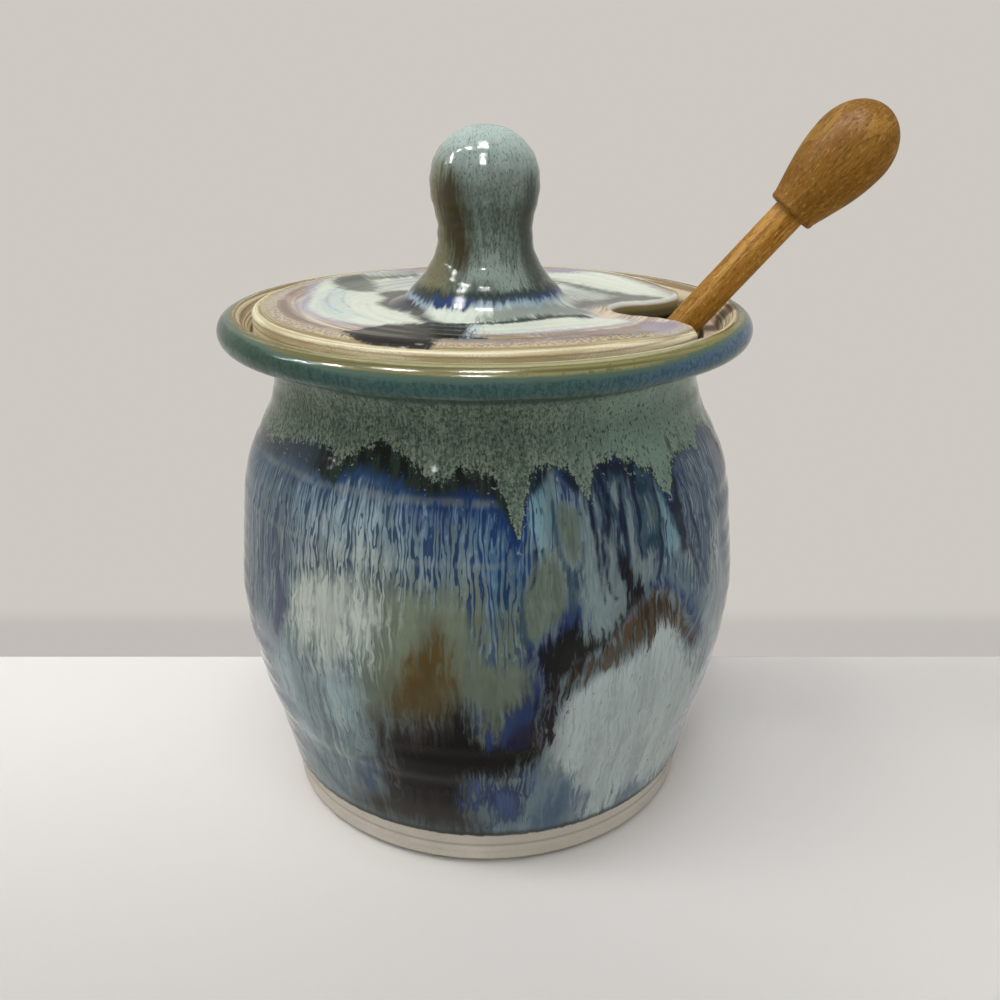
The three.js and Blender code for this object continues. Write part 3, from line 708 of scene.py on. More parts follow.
def make_pot():
    profile, neck_point, gallery_point = pot_profile()
    points, faces, azimuth, along = turned(profile, pot_angles())
    degrees = front_degrees(azimuth)
    height = points[:, 2].copy()
    lengths = lengths_along(profile)
    neck_length, gallery_length = lengths[neck_point], lengths[gallery_point]
    on_wall = (along <= neck_length + 0.01) & (height > 0.2)
    speckled = height - wrapped(SPECKLE_LINE, degrees)
    under = wrapped(BLUE_LINE, degrees) - height
    rivulet_end = wrapped(RIVULET_END, degrees)
    blue_end = rivulet_end + 10 * smoothstep(-7, -2, degrees) * smoothstep(9, 6.6, degrees)
    random = np.random.default_rng(5)

    def mark(shapes):
        values = np.full(len(points), -DRAWING_REACH)
        values[on_wall] = drawn_round(degrees[on_wall], height[on_wall], shapes)
        return values

    # Relief of the clay and the glaze, in millimetres outwards from the wall.
    out = np.zeros(len(points))
    for _ in range(THROWN_RINGS):
        pitch, phase, turn = random.uniform(3.5, 12), random.uniform(0, 6.28), random.integers(0, 2)
        out += 0.024 * np.sin(height * 2 * math.pi / pitch + phase + turn * azimuth)
    out *= smoothstep(4, 12, height)
    # Two ridges on the left, the thick edge of the upper glaze, the glaze's end, and two lines in the foot.
    left = smoothstep(6, 2, degrees) * smoothstep(-120, -80, degrees)
    out += 0.12 * ridge(height, 77.6, 0.8) * left
    out += 0.1 * ridge(height + 0.05 * (degrees + 35), 67.8, 0.7) * left
    out += 0.2 * ridge(speckled, 0.8, 1.4)
    out += GLAZE_THICKNESS * (smoothstep(7.0, 7.9, height + 0.35 * np.sin(azimuth * 5 + 1)) - 1)
    out -= 0.24 * ridge(height, FOOT_GROOVE, 0.5)
    out -= 0.16 * ridge(height, 2.6, 0.3)
    out += 0.12 * smoothstep(-0.6, 1.0, mark(POT_LAYERS["pale_lobes"][-1]))
    for turn, level, breadth, lift in GLAZE_DROPS:
        out += lift * ridge(degrees, turn, breadth / DEGREE) * ridge(height, level, GLAZE_DROP_HEIGHT)
    out += 0.3 * ridge(degrees, 78, 40) * ridge(height, 50, 26)
    push(points, azimuth, np.where(on_wall, out, 0))

    # Streaks lean to the right as they run down the right shoulder.
    leaning = smoothstep(43, 48, degrees) * smoothstep(66, 58, degrees) * smoothstep(46, 54, height)
    shear = 0.24 * (80 - height) * leaning
    marks = {
        "flow": flow_marks(azimuth - np.radians(shear), along),
        "degrees": degrees,
        "side": np.sign(degrees) * (90 - np.abs(np.abs(degrees) - 90)),
        "length": along - neck_length,
        "inner": np.clip(along - gallery_length, -20, 60),
        "speckled": np.clip(speckled, -20, 40),
        "under": np.clip(under, -20, 60),
        "rivulets": smoothstep(-5, 9, height - rivulet_end) * smoothstep(0.2, 3.0, under),
        "blue_zone": smoothstep(-5, 9, height - blue_end) * smoothstep(0.2, 3.0, under),
        "royal": wrapped(ROYAL_SHARE, degrees),
        "rise": height,
        "fringe": mark(FRINGE),
    }
    for name, (*_, shapes) in POT_LAYERS.items():
        marks[name] = mark(shapes)
    pot = mesh_object("glazed_pot", points, faces, marks)
    pot.data.materials.append(pot_material())
    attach(pot, "pot")
    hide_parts("pot_body")


def pot_material():
    s = Sheet("pot_glaze")
    straight, place = s.vector_mark("flow"), s.place()
    rise, under, degrees, side = s.mark("rise"), s.mark("under"), s.mark("degrees"), s.mark("side")
    wiggle = s.noise(place, (0.2, 0.2, 0.16), 2.5, output="Color")
    sway = s.vector_math("MULTIPLY_ADD", wiggle, (2.6, 2.6, 0.0), (-1.3, -1.3, 0.0))
    flow = s.vector_math("ADD", straight, sway)
    streak = s.noise(flow, (0.85, 0.85, 0.06), 2, 0.55)
    fine_streak = s.noise(flow, (2.2, 2.2, 0.16), 2, 0.5, 0.0, 7.0)
    wide_streak = s.noise(flow, (0.26, 0.26, 0.03), 3, 0.55, 0.2, 3.0)
    cloud = s.noise(place, (0.06, 0.06, 0.07), 4, 0.6, 0.6, 1.7)
    ragged = s.noise(flow, (0.42, 0.42, 0.3), 4, 0.68, 0.3, 12.0)
    grit = s.noise(straight, (1.7, 1.7, 1.25), 3, 0.75, 0.4, 5.0)
    grain = s.noise(place, (5, 5, 5), 2, 0.6)
    hoop = s.noise(straight, (0.02, 0.02, 1.7), 2, 0.6, 0.1, 15.0)

    def edge(name, ragged_by, streaked_by):
        streaked = (streak - 0.5) * streaked_by + (fine_streak - 0.5) * (streaked_by * 0.7)
        return s.mark(name) + (ragged - 0.5) * (ragged_by * 0.6) + streaked

    def lay(body, *names):
        return s.lay(body, POT_LAYERS, names, edge)

    # Lower glaze in pale celadon, and its blue zone under the upper glaze.
    body = s.coat((97, 113, 116), cloud, 0.35, 0.65, (112, 126, 126))
    body = lay(body, "far_right", "pale_right", "left_wash", "left_pale")
    body = lay(body, "middle", "grey_tongue", "cream", "violet_left", "left_curve")
    royal = s.mark("royal")
    deepness = under + (streak - 0.5) * 5 + (wide_streak - 0.5) * 5
    light_zone = s.blend(royal, (142, 160, 166), (38, 78, 110))
    blue_zone = s.blend(royal, (104, 124, 138), (32, 62, 102))
    navy_zone = s.blend(royal, (46, 74, 108), (20, 48, 92))
    zone = s.coat(blue_zone, deepness, 3.4, 7.0, light_zone)
    zone = s.coat(zone, deepness, 3.2, 0.8, navy_zone)
    zone = s.blend(s.step(deepness, 8.0, 14.0) * (1 - royal), zone, (152, 162, 154))
    zone = s.coat(zone, side, -32, -46, (80, 96, 109), 0.8)
    zone_cover = s.step(s.mark("blue_zone") + (streak - 0.5) * 3.2 + (fine_streak - 0.5) * 1.6, 0.0, 1.35)
    near = s.math("MAXIMUM", zone_cover, s.step(under, 6.5, 3.0))
    body = s.blend(near, body, zone)

    # Lobes and patches on the right shoulder.
    body = lay(body, "lobe_base", "slate", "slate_light", "scratchy", "blue_right")
    body = lay(body, "night", "teal", "olive_lobes", "pale_lobes")

    # Rivulets: thin dark lines that wander and join, and short strokes where they end.
    drift = s.noise(straight, (0.3, 0.3, 0.05), 3, 0.62, 0.0, 17.0)
    breadth = s.noise(flow, (0.8, 0.8, 0.1), 2, 0.55, 0.0, 23.0) - 0.5
    ends = s.band(s.mark("rivulets"), 0.02, 0.25, 0.5, 0.95)
    across = s.math("PINGPONG", degrees * (DEGREE / RIVULET_PITCH) + drift * 6.0, 0.5)
    line = s.step(across - breadth * 0.75 - ends * 0.06, 0.19, 0.1)
    rivulets = s.mark("rivulets") * s.step(s.mark("night"), 0.5, -0.5)
    strength = s.step(rivulets + (ragged - 0.5) * 0.8 + (streak - 0.5) * 1.2, 0.08, 0.7)
    thread_colour = s.blend(royal, (56, 70, 88), (18, 46, 90))
    thread_colour = s.coat(thread_colour, rise, 63, 57, (58, 76, 92), 0.8)
    lobes = s.math("MAXIMUM", s.mark("pale_lobes"), s.math("MAXIMUM", s.mark("olive_lobes"), s.mark("teal")))
    quiet = s.step(lobes, 0.2, -0.9, 0.2, 1.0)
    body = s.blend(line * strength * quiet * 0.9, body, thread_colour)
    glint = s.step(across + breadth * 0.5, 0.36, 0.46) * strength * s.step(fine_streak, 0.4, 0.6) * quiet
    body = s.blend(glint * 0.45, body, s.blend(royal, (152, 160, 164), (112, 142, 162)))
    body = lay(body, "left_streaks", "teal_lines", "dark_lines")

    # Pale lines along the throwing ridges on the left, painted highlights where the ridges catch the lamps, and dark
    # specks.
    left = s.step(side, 5, 1)
    for level, width, share in ((78.4, 1.1, 0.36), (68.4, 0.9, 0.26)):
        ridge_highlight = s.close(rise - level + (wide_streak - 0.5) * 0.7, 0.1, width)
        ridge_highlight = ridge_highlight * left * s.step(streak, 0.3, 0.5) * share
        body = s.blend(ridge_highlight, body, (128, 134, 128))
    speck = s.noise(straight, (1.4, 1.4, 0.62), 1, 0.4, 0.0, 31.0)
    body = s.blend(s.step(speck, 0.69, 0.75) * s.step(ragged, 0.45, 0.62) * 0.7, body, (62, 72, 74))

    # The dark pool, the rust patch and the diagonal band.
    body = lay(body, "low_blue", "low_blue_deep", "blotch", "halo", "rust", "rust_deep", "brown", "dark")
    body = lay(body, "indigo_low", "indigo_light", "black", "indigo", "violet", "umber", "core")
    fringe = edge("fringe", 2.0, 8.0)
    streaks = s.noise(flow, (1.1, 1.1, 0.05), 2, 0.6, 0.0, 41.0)
    gold = s.coat((38, 30, 23), streaks, 0.4, 0.56, (76, 62, 44))
    gold = s.coat(gold, rise, 49, 43, (30, 26, 30))
    gold = s.coat(gold, fringe, 0.9, -0.9, s.coat((82, 78, 86), streaks, 0.42, 0.6, (120, 117, 128)))
    combed = s.step(streaks + (fine_streak - 0.5) * 0.5, 0.3, 0.56, 0.4, 0.92)
    body = s.blend(s.step(fringe, -1.5, 0.9) * combed, body, gold)

    tone = s.step(wide_streak + (fine_streak - 0.5) * 0.9 + (streak - 0.5) * 0.6, 0.26, 0.74, 0.82, 1.15)
    body = s.shade(body, tone)

    # Black-green glass above the blue, then the speckled upper glaze with its pale grains.
    glass_edge = under * -1.0 + (ragged - 0.5) * 1.6 + (streak - 0.5) * 5.0 + (fine_streak - 0.5) * 2.0
    glass = s.coat((18, 25, 20), streak, 0.4, 0.62, (40, 51, 45))
    glass = s.coat(glass, side, -38, -46, (58, 66, 74))
    body = s.coat(body, glass_edge, -1.2, 1.2, glass)
    speckled = s.mark("speckled")
    speckle_edge = speckled + (ragged - 0.5) * 2.2 + (grit - 0.5) * 7.0 + (streak - 0.5) * 4.0
    band_tone = s.coat((68, 83, 71), grit + (fine_streak - 0.5) * 0.35, 0.36, 0.62, (116, 130, 114))
    band_tone = s.coat(band_tone, side, 5, 40, (120, 142, 128), 0.8)
    thin = s.step(wide_streak + (cloud - 0.5) * 0.8 + (streak - 0.5) * 0.5, 0.56, 0.74) * s.step(speckled, 9.0, 1.0)
    band_tone = s.blend(thin * 0.7, band_tone, (46, 58, 46))
    pits = s.step(s.noise(straight, (1.9, 1.9, 1.3), 1.5, 0.6, 0.0, 44.0), 0.58, 0.66)
    band_tone = s.blend(pits * 0.7, band_tone, (38, 50, 41))
    band_tone = s.shade(band_tone, s.step(cloud + (wide_streak - 0.5) * 0.8, 0.3, 0.7, 0.86, 1.16))
    frost = s.step(speckle_edge, 3.6, 0.6) * s.step(grit, 0.48, 0.6)
    band_tone = s.blend(frost * 0.5, band_tone, (140, 148, 130))
    body = s.coat(body, speckle_edge, -0.35, 0.45, band_tone)
    flung = s.step(s.noise(straight, (1.1, 1.1, 1.1), 1, 0.5, 0.3, 61.0), 0.7, 0.735) * s.step(speckled, -5.5, -1.5)
    body = s.blend(flung * 0.8, body, (136, 142, 130))

    # Neck and rim.
    length, inner = s.mark("length"), s.mark("inner")
    under_rim = s.coat((74, 94, 86), fine_streak, 0.3, 0.7, (98, 116, 107))
    under_rim = s.shade(under_rim, s.step(wide_streak, 0.3, 0.7, 0.85, 1.1))
    on_rim = s.step(length + (ragged - 0.5) * 1.5, 4.5, 7.0)
    body = s.blend(on_rim, body, under_rim)
    # Painted shade in the crease where the rim's underside meets the neck.
    crease_shade = s.band(length, 5.4, 6.2, 6.8, 7.6)
    body = s.blend(crease_shade * 0.5, body, (42, 54, 46))
    green_line = s.step(length + (ragged - 0.5), 11.4, 12.2) * s.step(length, 13.8, 12.8)
    body = s.blend(green_line * 0.6, body, (46, 64, 54))
    uneven = length + (ragged - 0.5) + (hoop - 0.5) * 0.9
    bead = uneven - s.step(side, -22, -62, 0, 2.4) - s.step(side, 26, 66, 0, 2.0)
    crystals = s.step(grit + (fine_streak - 0.5) * 0.5, 0.38, 0.6)
    front_tone = s.blend(crystals, (52, 79, 78), (68, 96, 92))
    right_tone = s.blend(crystals, (58, 84, 104), (80, 104, 122))
    left_tone = s.blend(crystals, (46, 69, 58), (58, 80, 68))
    teal_tone = s.coat(left_tone, side, -46, -14, s.coat(front_tone, side, 12, 44, right_tone))
    body = s.coat(body, bead, 13.8, 15.2, teal_tone)
    body = s.coat(body, bead, 16.9, 17.6, (80, 100, 88))
    olive = s.coat((98, 94, 58), hoop, 0.36, 0.64, (134, 129, 86))
    olive = s.coat(olive, ragged + (hoop - 0.5) * 0.5, 0.58, 0.7, (78, 84, 58), 0.6)
    body = s.coat(body, bead, 17.8, 18.5, olive)
    yellow = s.coat((132, 126, 84), hoop, 0.34, 0.6, (162, 158, 122))
    body = s.coat(body, bead, 19.7, 20.4, yellow)

    # Bare clay: the foot, the inner lip and the gallery.
    clay_tone = s.coat((184, 177, 163), grain + (cloud - 0.5), 0.35, 0.65, (198, 191, 178))
    lip = s.step(uneven, 21.2, 21.8)
    lip_tone = s.coat((132, 108, 76), hoop + (grain - 0.5) * 0.3, 0.42, 0.56, (196, 184, 152))
    lip_tone = s.coat(lip_tone, inner, 3.2, 4.2, s.coat((190, 172, 146), wide_streak, 0.35, 0.65, (172, 150, 132)))
    body = s.blend(lip, body, lip_tone)
    inside_glaze = s.coat((104, 96, 66), wide_streak, 0.3, 0.7, (84, 90, 76))
    deep_in = s.step(inner, 9.5, 11.0)
    body = s.blend(deep_in, body, inside_glaze)
    glaze_edge = rise + (ragged - 0.5) * 1.2
    foot = s.step(glaze_edge, 8.2, 7.6) * (1 - on_rim)
    last_line = s.band(glaze_edge, 7.4, 8.0, 8.4, 9.6)
    body = s.blend(last_line * 0.75 * (1 - on_rim), body, (52, 48, 44))
    groove = s.close(rise - FOOT_GROOVE, 0.15, 0.5)
    clay_tone = s.blend(groove * 0.35, clay_tone, (104, 96, 84))
    body = s.blend(foot, body, clay_tone)

    bare = s.math("MAXIMUM", foot, lip * (1 - deep_in))
    roughness = s.math("ADD", 0.075 + (grain - 0.5) * 0.04 + on_rim * 0.06, bare * 0.5)
    gritty = s.step(speckle_edge, -1, 1) * (1 - on_rim) * 0.35
    height = line * strength * -0.3 + (cloud - 0.5) * 4.0 + (grit - 0.5) * gritty + grain * bare * 0.8
    normal = s.relief(height, 0.045 * MM)
    return s.finish(body, roughness, normal, IOR=GLAZE_IOR, Specular_IOR_Level=0.12)


# The lid
LID_TOP_SHARES = [(1.0, 0.25), (0.97, 0.45), (0.92, 0.7), (0.865, 1), (0.82, 0.4), (0.76, 0.04), (0.7, 0)]
LID_EDGE_ROUND = 1.0
LID_FOOT_ROUND = 0.7

# Drawings on the lid in plan, in millimetres, as seen from the front. Each layer has a colour, its
# softness, raggedness, streakiness and strength, then its shapes.
LID_LAYERS = {
    "lilac_edge": ((164, 164, 182), 1.6, 3, 2, 0.8, [
        [(-37, 2), (-36, -8), (-32, -15.5), (-27, -20.5), (-20, -24), (-10, -24), (0, -29.6), (8, -29.4), (14, -27),
        (20, -23.4), (25, -19.6), (28.4, -15.4), (27, -13), (22, -12), (21, -6), (24, 0), (31, 3), (39, 5),
        (40.6, 12), (37, 23), (29, 31), (15, 35.6), (0, 37), (-16, 35), (-27, 31), (-34.6, 25), (-37.4, 15)]]),
    "pale": ((212, 218, 202), 1, 2.4, 2, 1, [
        [(-35.2, 2), (-34, -7), (-30.4, -14), (-25.6, -19), (-20, -22.6), (-10, -22.6), (-1, -28.6), (6, -28.6),
        (12, -26.4), (18, -23.2), (23, -19.4), (26.6, -15.6), (26, -13), (21.4, -12), (20, -6), (23.4, 0.6), (31, 4),
        (38, 6), (38.6, 12), (35, 22), (27.4, 29.4), (14, 33.8), (0, 35.4), (-15, 33.6), (-25.6, 29.4), (-33, 24),
        (-35.8, 14)]]),
    "mist": ((176, 183, 176), 2.2, 4, 4, 0.8, [
        [(11, -13.5), (18, -14.2), (20.4, -10), (19, -4), (22, 3), (27, 9), (24, 16), (18, 20), (15, 8), (16, -4)],
        [(-24, 22), (-20, 28), (-12, 31), (-14, 22), (-18, 14), (-22, 12)]]),
    "arcs": ((158, 168, 164), 0.35, 1, 1, 0.7, [
        [(-31, 19, 0.2), (-32.6, 8, 0.3), (-31, -3, 0.3), (-27, -11, 0.2)], [(-29.4, 10, 0.2), (-29, 2, 0.25),
        (-26.4, -6, 0.2)]]),
    "cloudy_grey": ((96, 99, 92), 1.6, 3, 3, 0.92, [
        [(-33.6, 26), (-27, 27.6), (-24.4, 21), (-22.8, 13.4), (-25.6, 11), (-29.6, 13.4), (-33, 18)],
        [(-30, 26, 1.4), (-34.6, 30, 2), (-37, 33, 1.4)], [(-27, 25.6, 1.4), (-22, 29, 1.3), (-16.6, 32, 1.2)],
        [(18.6, -5.4, 1.8), (20.4, -1, 2.2), (24, 3, 2.3), (27, 6, 2.8), (30, 8.4, 3.6), (34, 7.6, 3),
        (36.6, 7, 1.6)], [(31, 9.6, 2.4), (27, 13, 2), (22, 17.6, 1.7), (17, 22.6, 1.5), (13.6, 27, 1.3)]]),
    "feather": ((116, 126, 118), 1.6, 3, 9, 0.85, [
        [(0, -19, 1.2), (5, -16.6, 2.4), (10, -13.4, 3), (15, -10.8, 3), (18.4, -9.2, 2.4)]]),
    "shadow_grey": ((66, 69, 64), 1.3, 2, 1.5, 0.95, [
        [(-22.6, 9), (-20.4, 4), (-21.6, -1), (-20, -5), (-17, -8.4), (-12, -10.6), (-8.6, -10), (-7.6, -4), (-8, 2),
        (-9, 8), (-12, 12), (-19, 13)], [(-14, -9, 2.2), (-12.4, -13, 1.5), (-11, -17, 1.2), (-9, -21, 1.6)]]),
    "blue_black": ((44, 47, 62), 1.4, 2, 2, 0.85, [
        [(-18, -2), (-9, -1), (-8, -10), (-13, -11), (-17.5, -8)]]),
    "left_blue": ((184, 201, 200), 1.6, 2, 2, 0.7, [
        [(-31, 14, 2.4), (-31.4, 4, 2.6), (-29.6, -6, 2.6), (-25.6, -14, 2.4)]]),
    "stroke": ((34, 40, 36), 0.8, 1.4, 3, 0.96, [
        [(-10, -21.2, 1), (-4, -21.8, 0.8), (0, -21, 1), (4, -19.9, 1.2), (8, -17.9, 1.2), (12, -15.6, 1),
        (16, -13.6, 0.8), (19.6, -12.2, 0.4)]]),
    "grey_disc": ((38, 36, 30), 1.3, 3, 5, 0.97, [
        [(-23.2, -29), (-21.8, -25), (-18, -22.2), (-12, -20.8), (-7, -21.2), (-2.8, -22.4), (-2.4, -28), (-3.6, -32),
        (-7.2, -35), (-7.8, -39), (-8.4, -44), (-13, -42.6), (-18.6, -40), (-22.4, -35)]]),
    "black_disc": ((14, 9, 6), 2.6, 3, 5, 0.96, [
        [(-22.4, -31.4), (-16, -31), (-9.6, -31), (-7, -33), (-7.6, -36), (-8, -40), (-8.8, -43.4), (-13, -42.4),
        (-18.6, -39.8), (-22, -35.4)]]),
    # Painted highlights: three small white dashes where the lamps glint on the lid's outer edge below the dark disc.
    "grains": ((214, 212, 200), 0.3, 0.8, 0.6, 0.7, [
        [(-13.4, -41.6, 0.15), (-12.4, -42.1, 0.25)], [(-10.6, -40.8, 0.2), (-9.8, -41, 0.2)], [(-15.8, -41.2, 0.15),
        (-15.2, -41.4, 0.15)]]),
    "ink": ((14, 15, 18), 0.5, 1.2, 1, 0.95, [
        [(-8, -31, 1), (-4, -32, 1.2), (0.4, -33.4, 0.5)]]),
    "tan_stripe": ((146, 128, 102), 0.6, 1.6, 1, 0.85, [
        [(-2, -31, 0.5), (2, -31.6, 1.2), (6, -32.4, 1.6), (10, -33, 0.8)]]),
    "slate_stripe": ((84, 92, 92), 0.7, 1.6, 1, 0.9, [
        [(-7.6, -34.4), (0, -34), (8, -35.4), (11.4, -37), (8, -38.8), (0, -39.4), (-8.4, -38)], [(-6.6, -30.6, 0.5),
        (-3, -31.4, 0.5), (0.6, -32.4, 0.3)]]),
    "mauve": ((136, 120, 112), 0.9, 2.4, 4, 0.9, [
        [(4, -30), (9, -30), (16, -27), (22, -23.6), (27, -18.6), (29.6, -15.6), (33.6, -16.6), (36, -21),
        (36.6, -27), (35, -31), (30, -34.4), (22, -37.4), (13, -39), (11, -35.4), (11, -32)]]),
    "mauve_brown": ((122, 100, 88), 0.9, 2.4, 2, 0.75, [
        [(16, -30), (22, -27), (29, -27), (29, -31), (24, -35), (18, -36)], [(-40, -4, 1.2), (-37.6, -13, 1.5),
        (-33, -21, 1.6), (-27, -28, 1.2)], [(-38.6, 12, 0.8), (-39.6, 2, 0.8)]]),
    "lilac": ((152, 142, 164), 1.4, 2, 1, 0.75, [
        [(28.6, -19), (31, -15.6), (34.6, -16.4), (36.6, -22), (36.8, -30), (35.6, -34), (32, -32), (29.6, -25)]]),
}


def lid_outline():
    """Plan of the lid, counterclockwise, round the edge and along the slot."""
    end_x = SLOT_REACH + SLOT_END_RADIUS
    corner_x = LID_RADIUS - SLOT_CORNER_INSET
    corner_y = math.sqrt((SLOT_END_RADIUS + SLOT_CORNER_RADIUS) ** 2 - (end_x - corner_x) ** 2)
    meet = math.degrees(math.atan2(corner_y, corner_x - end_x))
    side_x = corner_x + SLOT_CORNER_RADIUS
    open_angle = math.degrees(math.acos(side_x / LID_RADIUS))
    nick = 2.2  # rounding where the slot meets the edge, in degrees of the edge
    edge = arc((0, 0), LID_RADIUS, open_angle + nick, 360 - open_angle - nick, 320)
    corner_low = arc((corner_x, -corner_y), SLOT_CORNER_RADIUS, 0, 180 - meet, 22)
    end = arc((end_x, 0), SLOT_END_RADIUS, 360 - meet, meet, 36)
    corner_high = arc((corner_x, corner_y), SLOT_CORNER_RADIUS, meet - 180, 0, 22)
    tip_y = math.sqrt(LID_RADIUS**2 - side_x**2)
    tip_low = bezier(edge[-1], (side_x, -tip_y), (side_x, -tip_y), corner_low[0], 6)[1:-1]
    tip_high = bezier(corner_high[-1], (side_x, tip_y), (side_x, tip_y), edge[0], 6)[1:-1]
    return np.vstack([edge, tip_low, corner_low, end[1:-1], corner_high, tip_high])


def lid_top_height(x, y):
    reach = np.hypot(x, y) / LID_RADIUS
    curve = spline(LID_TOP_SHARES[::-1], 8)
    rise = np.interp(reach, curve[:, 0], curve[:, 1])
    top = LID_TOP + RIDGE_RISE * rise
    outward = smoothstep(KNOB_BASE_RADIUS, SLOT_REACH, reach * LID_RADIUS)
    beside = 1 - smoothstep(SLOT_DIP_NEAR, SLOT_DIP_FAR, np.abs(np.arctan2(y, x)))
    sunk = np.minimum(top, LID_TOP - SLOT_DIP)
    rings = 0.04 * np.sin(reach * LID_RADIUS * 2 * math.pi / 3.4) * smoothstep(0.45, 0.6, reach)
    rings += 0.05 * np.sin(reach * LID_RADIUS * 2 * math.pi / 1.3) * smoothstep(0.88, 0.92, reach)
    return mix(top, sunk, outward * beside) + rings


def plan_place(points):
    """Place of a point in the plan as it is drawn, with +X to the right of the front view."""
    c, n = math.cos(PLAN_TURN), math.sin(PLAN_TURN)
    return points[:, 0] * c + points[:, 1] * n, points[:, 1] * c - points[:, 0] * n


def make_lid():
    outline = lid_outline()
    tangent = np.roll(outline, -1, axis=0) - np.roll(outline, 1, axis=0)
    tangent /= np.linalg.norm(tangent, axis=1)[:, None]
    inward = np.stack([-tangent[:, 1], tangent[:, 0]], 1)
    count = len(outline)
    edge_top = lid_top_height(*(outline + inward * LID_EDGE_ROUND).T) - LID_EDGE_ROUND
    side_bottom = SEAT_HEIGHT + LID_FOOT_ROUND
    rings = [(LID_EDGE_ROUND, SEAT_HEIGHT), (LID_FOOT_ROUND, SEAT_HEIGHT)]
    rings += [(0.25, SEAT_HEIGHT + 0.25), (0, side_bottom)]
    for share, groove in ((0.2, 0), (0.4, 0.12), (0.6, 0), (0.8, 0.12)):
        rings.append((groove, mix(side_bottom, edge_top, share)))
    for angle in np.radians(np.linspace(0, 90, 6)):
        rings.append((LID_EDGE_ROUND * (1 - math.cos(angle)), edge_top + LID_EDGE_ROUND * math.sin(angle)))
    rows = [np.column_stack([outline + inward * inset, np.broadcast_to(z, count)]) for inset, z in rings]
    inner_ring = outline + inward * LID_EDGE_ROUND
    row_step = FINE_STEP * 0.866  # rows of even triangles
    columns, lines = (np.arange(-GRID_HALF, GRID_HALF, step) for step in (FINE_STEP, row_step))
    grid_x, grid_y = np.meshgrid(columns, lines)
    grid_x = grid_x + (np.arange(grid_x.shape[0]) % 2)[:, None] * FINE_STEP / 2
    grid = np.stack([grid_x.ravel(), grid_y.ravel()], 1)
    kept = inside(grid[:, 0], grid[:, 1], inner_ring) > FINE_STEP * 0.6
    kept &= np.hypot(grid[:, 0], grid[:, 1]) > HUB_RADIUS
    grid = np.vstack([grid[kept], even_disc(HUB_RADIUS - FINE_STEP, HUB_STEP)])
    flat = np.vstack([inner_ring, grid])
    _, _, net, sources, *_ = delaunay_2d_cdt([Vector(p) for p in flat], [], [list(range(count))], 1, 1e-6)
    order = [source[0] if source else -1 for source in sources]
    triangles = [[order[i] for i in face] for face in net]
    triangles = [face for face in triangles if min(face) >= 0]
    top_grid = np.column_stack([grid, lid_top_height(grid[:, 0], grid[:, 1])])
    bottom_grid = np.column_stack([grid, np.full(len(grid), SEAT_HEIGHT)])
    points = np.vstack([*rows, top_grid, bottom_grid])
    faces = []
    last = (len(rings) - 1) * count
    for start in range(0, last, count):
        for i in range(count):
            j = (i + 1) % count
            faces.append((start + i, start + j, start + count + j, start + count + i))
    for face in triangles:
        top = [last + i for i in face]
        bottom = [i if i < count else last + len(grid) + i for i in face]
        (ax, ay), (bx, by) = points[top[1], :2] - points[top[0], :2], points[top[2], :2] - points[top[0], :2]
        if ax * by - ay * bx < 0:
            top, bottom = top[::-1], bottom[::-1]
        faces += [top, bottom[::-1]]

    x, y = plan_place(points)
    reach = np.hypot(x, y)
    azimuth = np.arctan2(points[:, 1], points[:, 0])
    marks = {
        "reach": reach,
        "flow": flow_marks(azimuth, reach, 36.0),
        "front": np.degrees(np.arctan2(x, -y)),
        "edge": np.clip(inside(points[:, 0], points[:, 1], outline), -1, 12),
        "rise": points[:, 2] - LID_TOP,
    }
    for name, (*_, shapes) in LID_LAYERS.items():
        marks[name] = drawn(x, y, shapes)
    lid = mesh_object("glazed_lid", points, faces, marks)
    lid.data.materials.append(lid_material())
    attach(lid, "lid")
    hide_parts("lid_plate")


def even_disc(radius, spacing):
    """Points spread evenly over a disc."""
    points = [(0.0, 0.0)]
    for ring in np.arange(spacing, radius + 0.01, spacing):
        count = int(round(2 * math.pi * ring / spacing))
        points += [(ring * math.cos(t), ring * math.sin(t)) for t in np.arange(count) * 2 * math.pi / count]
    return np.array(points)


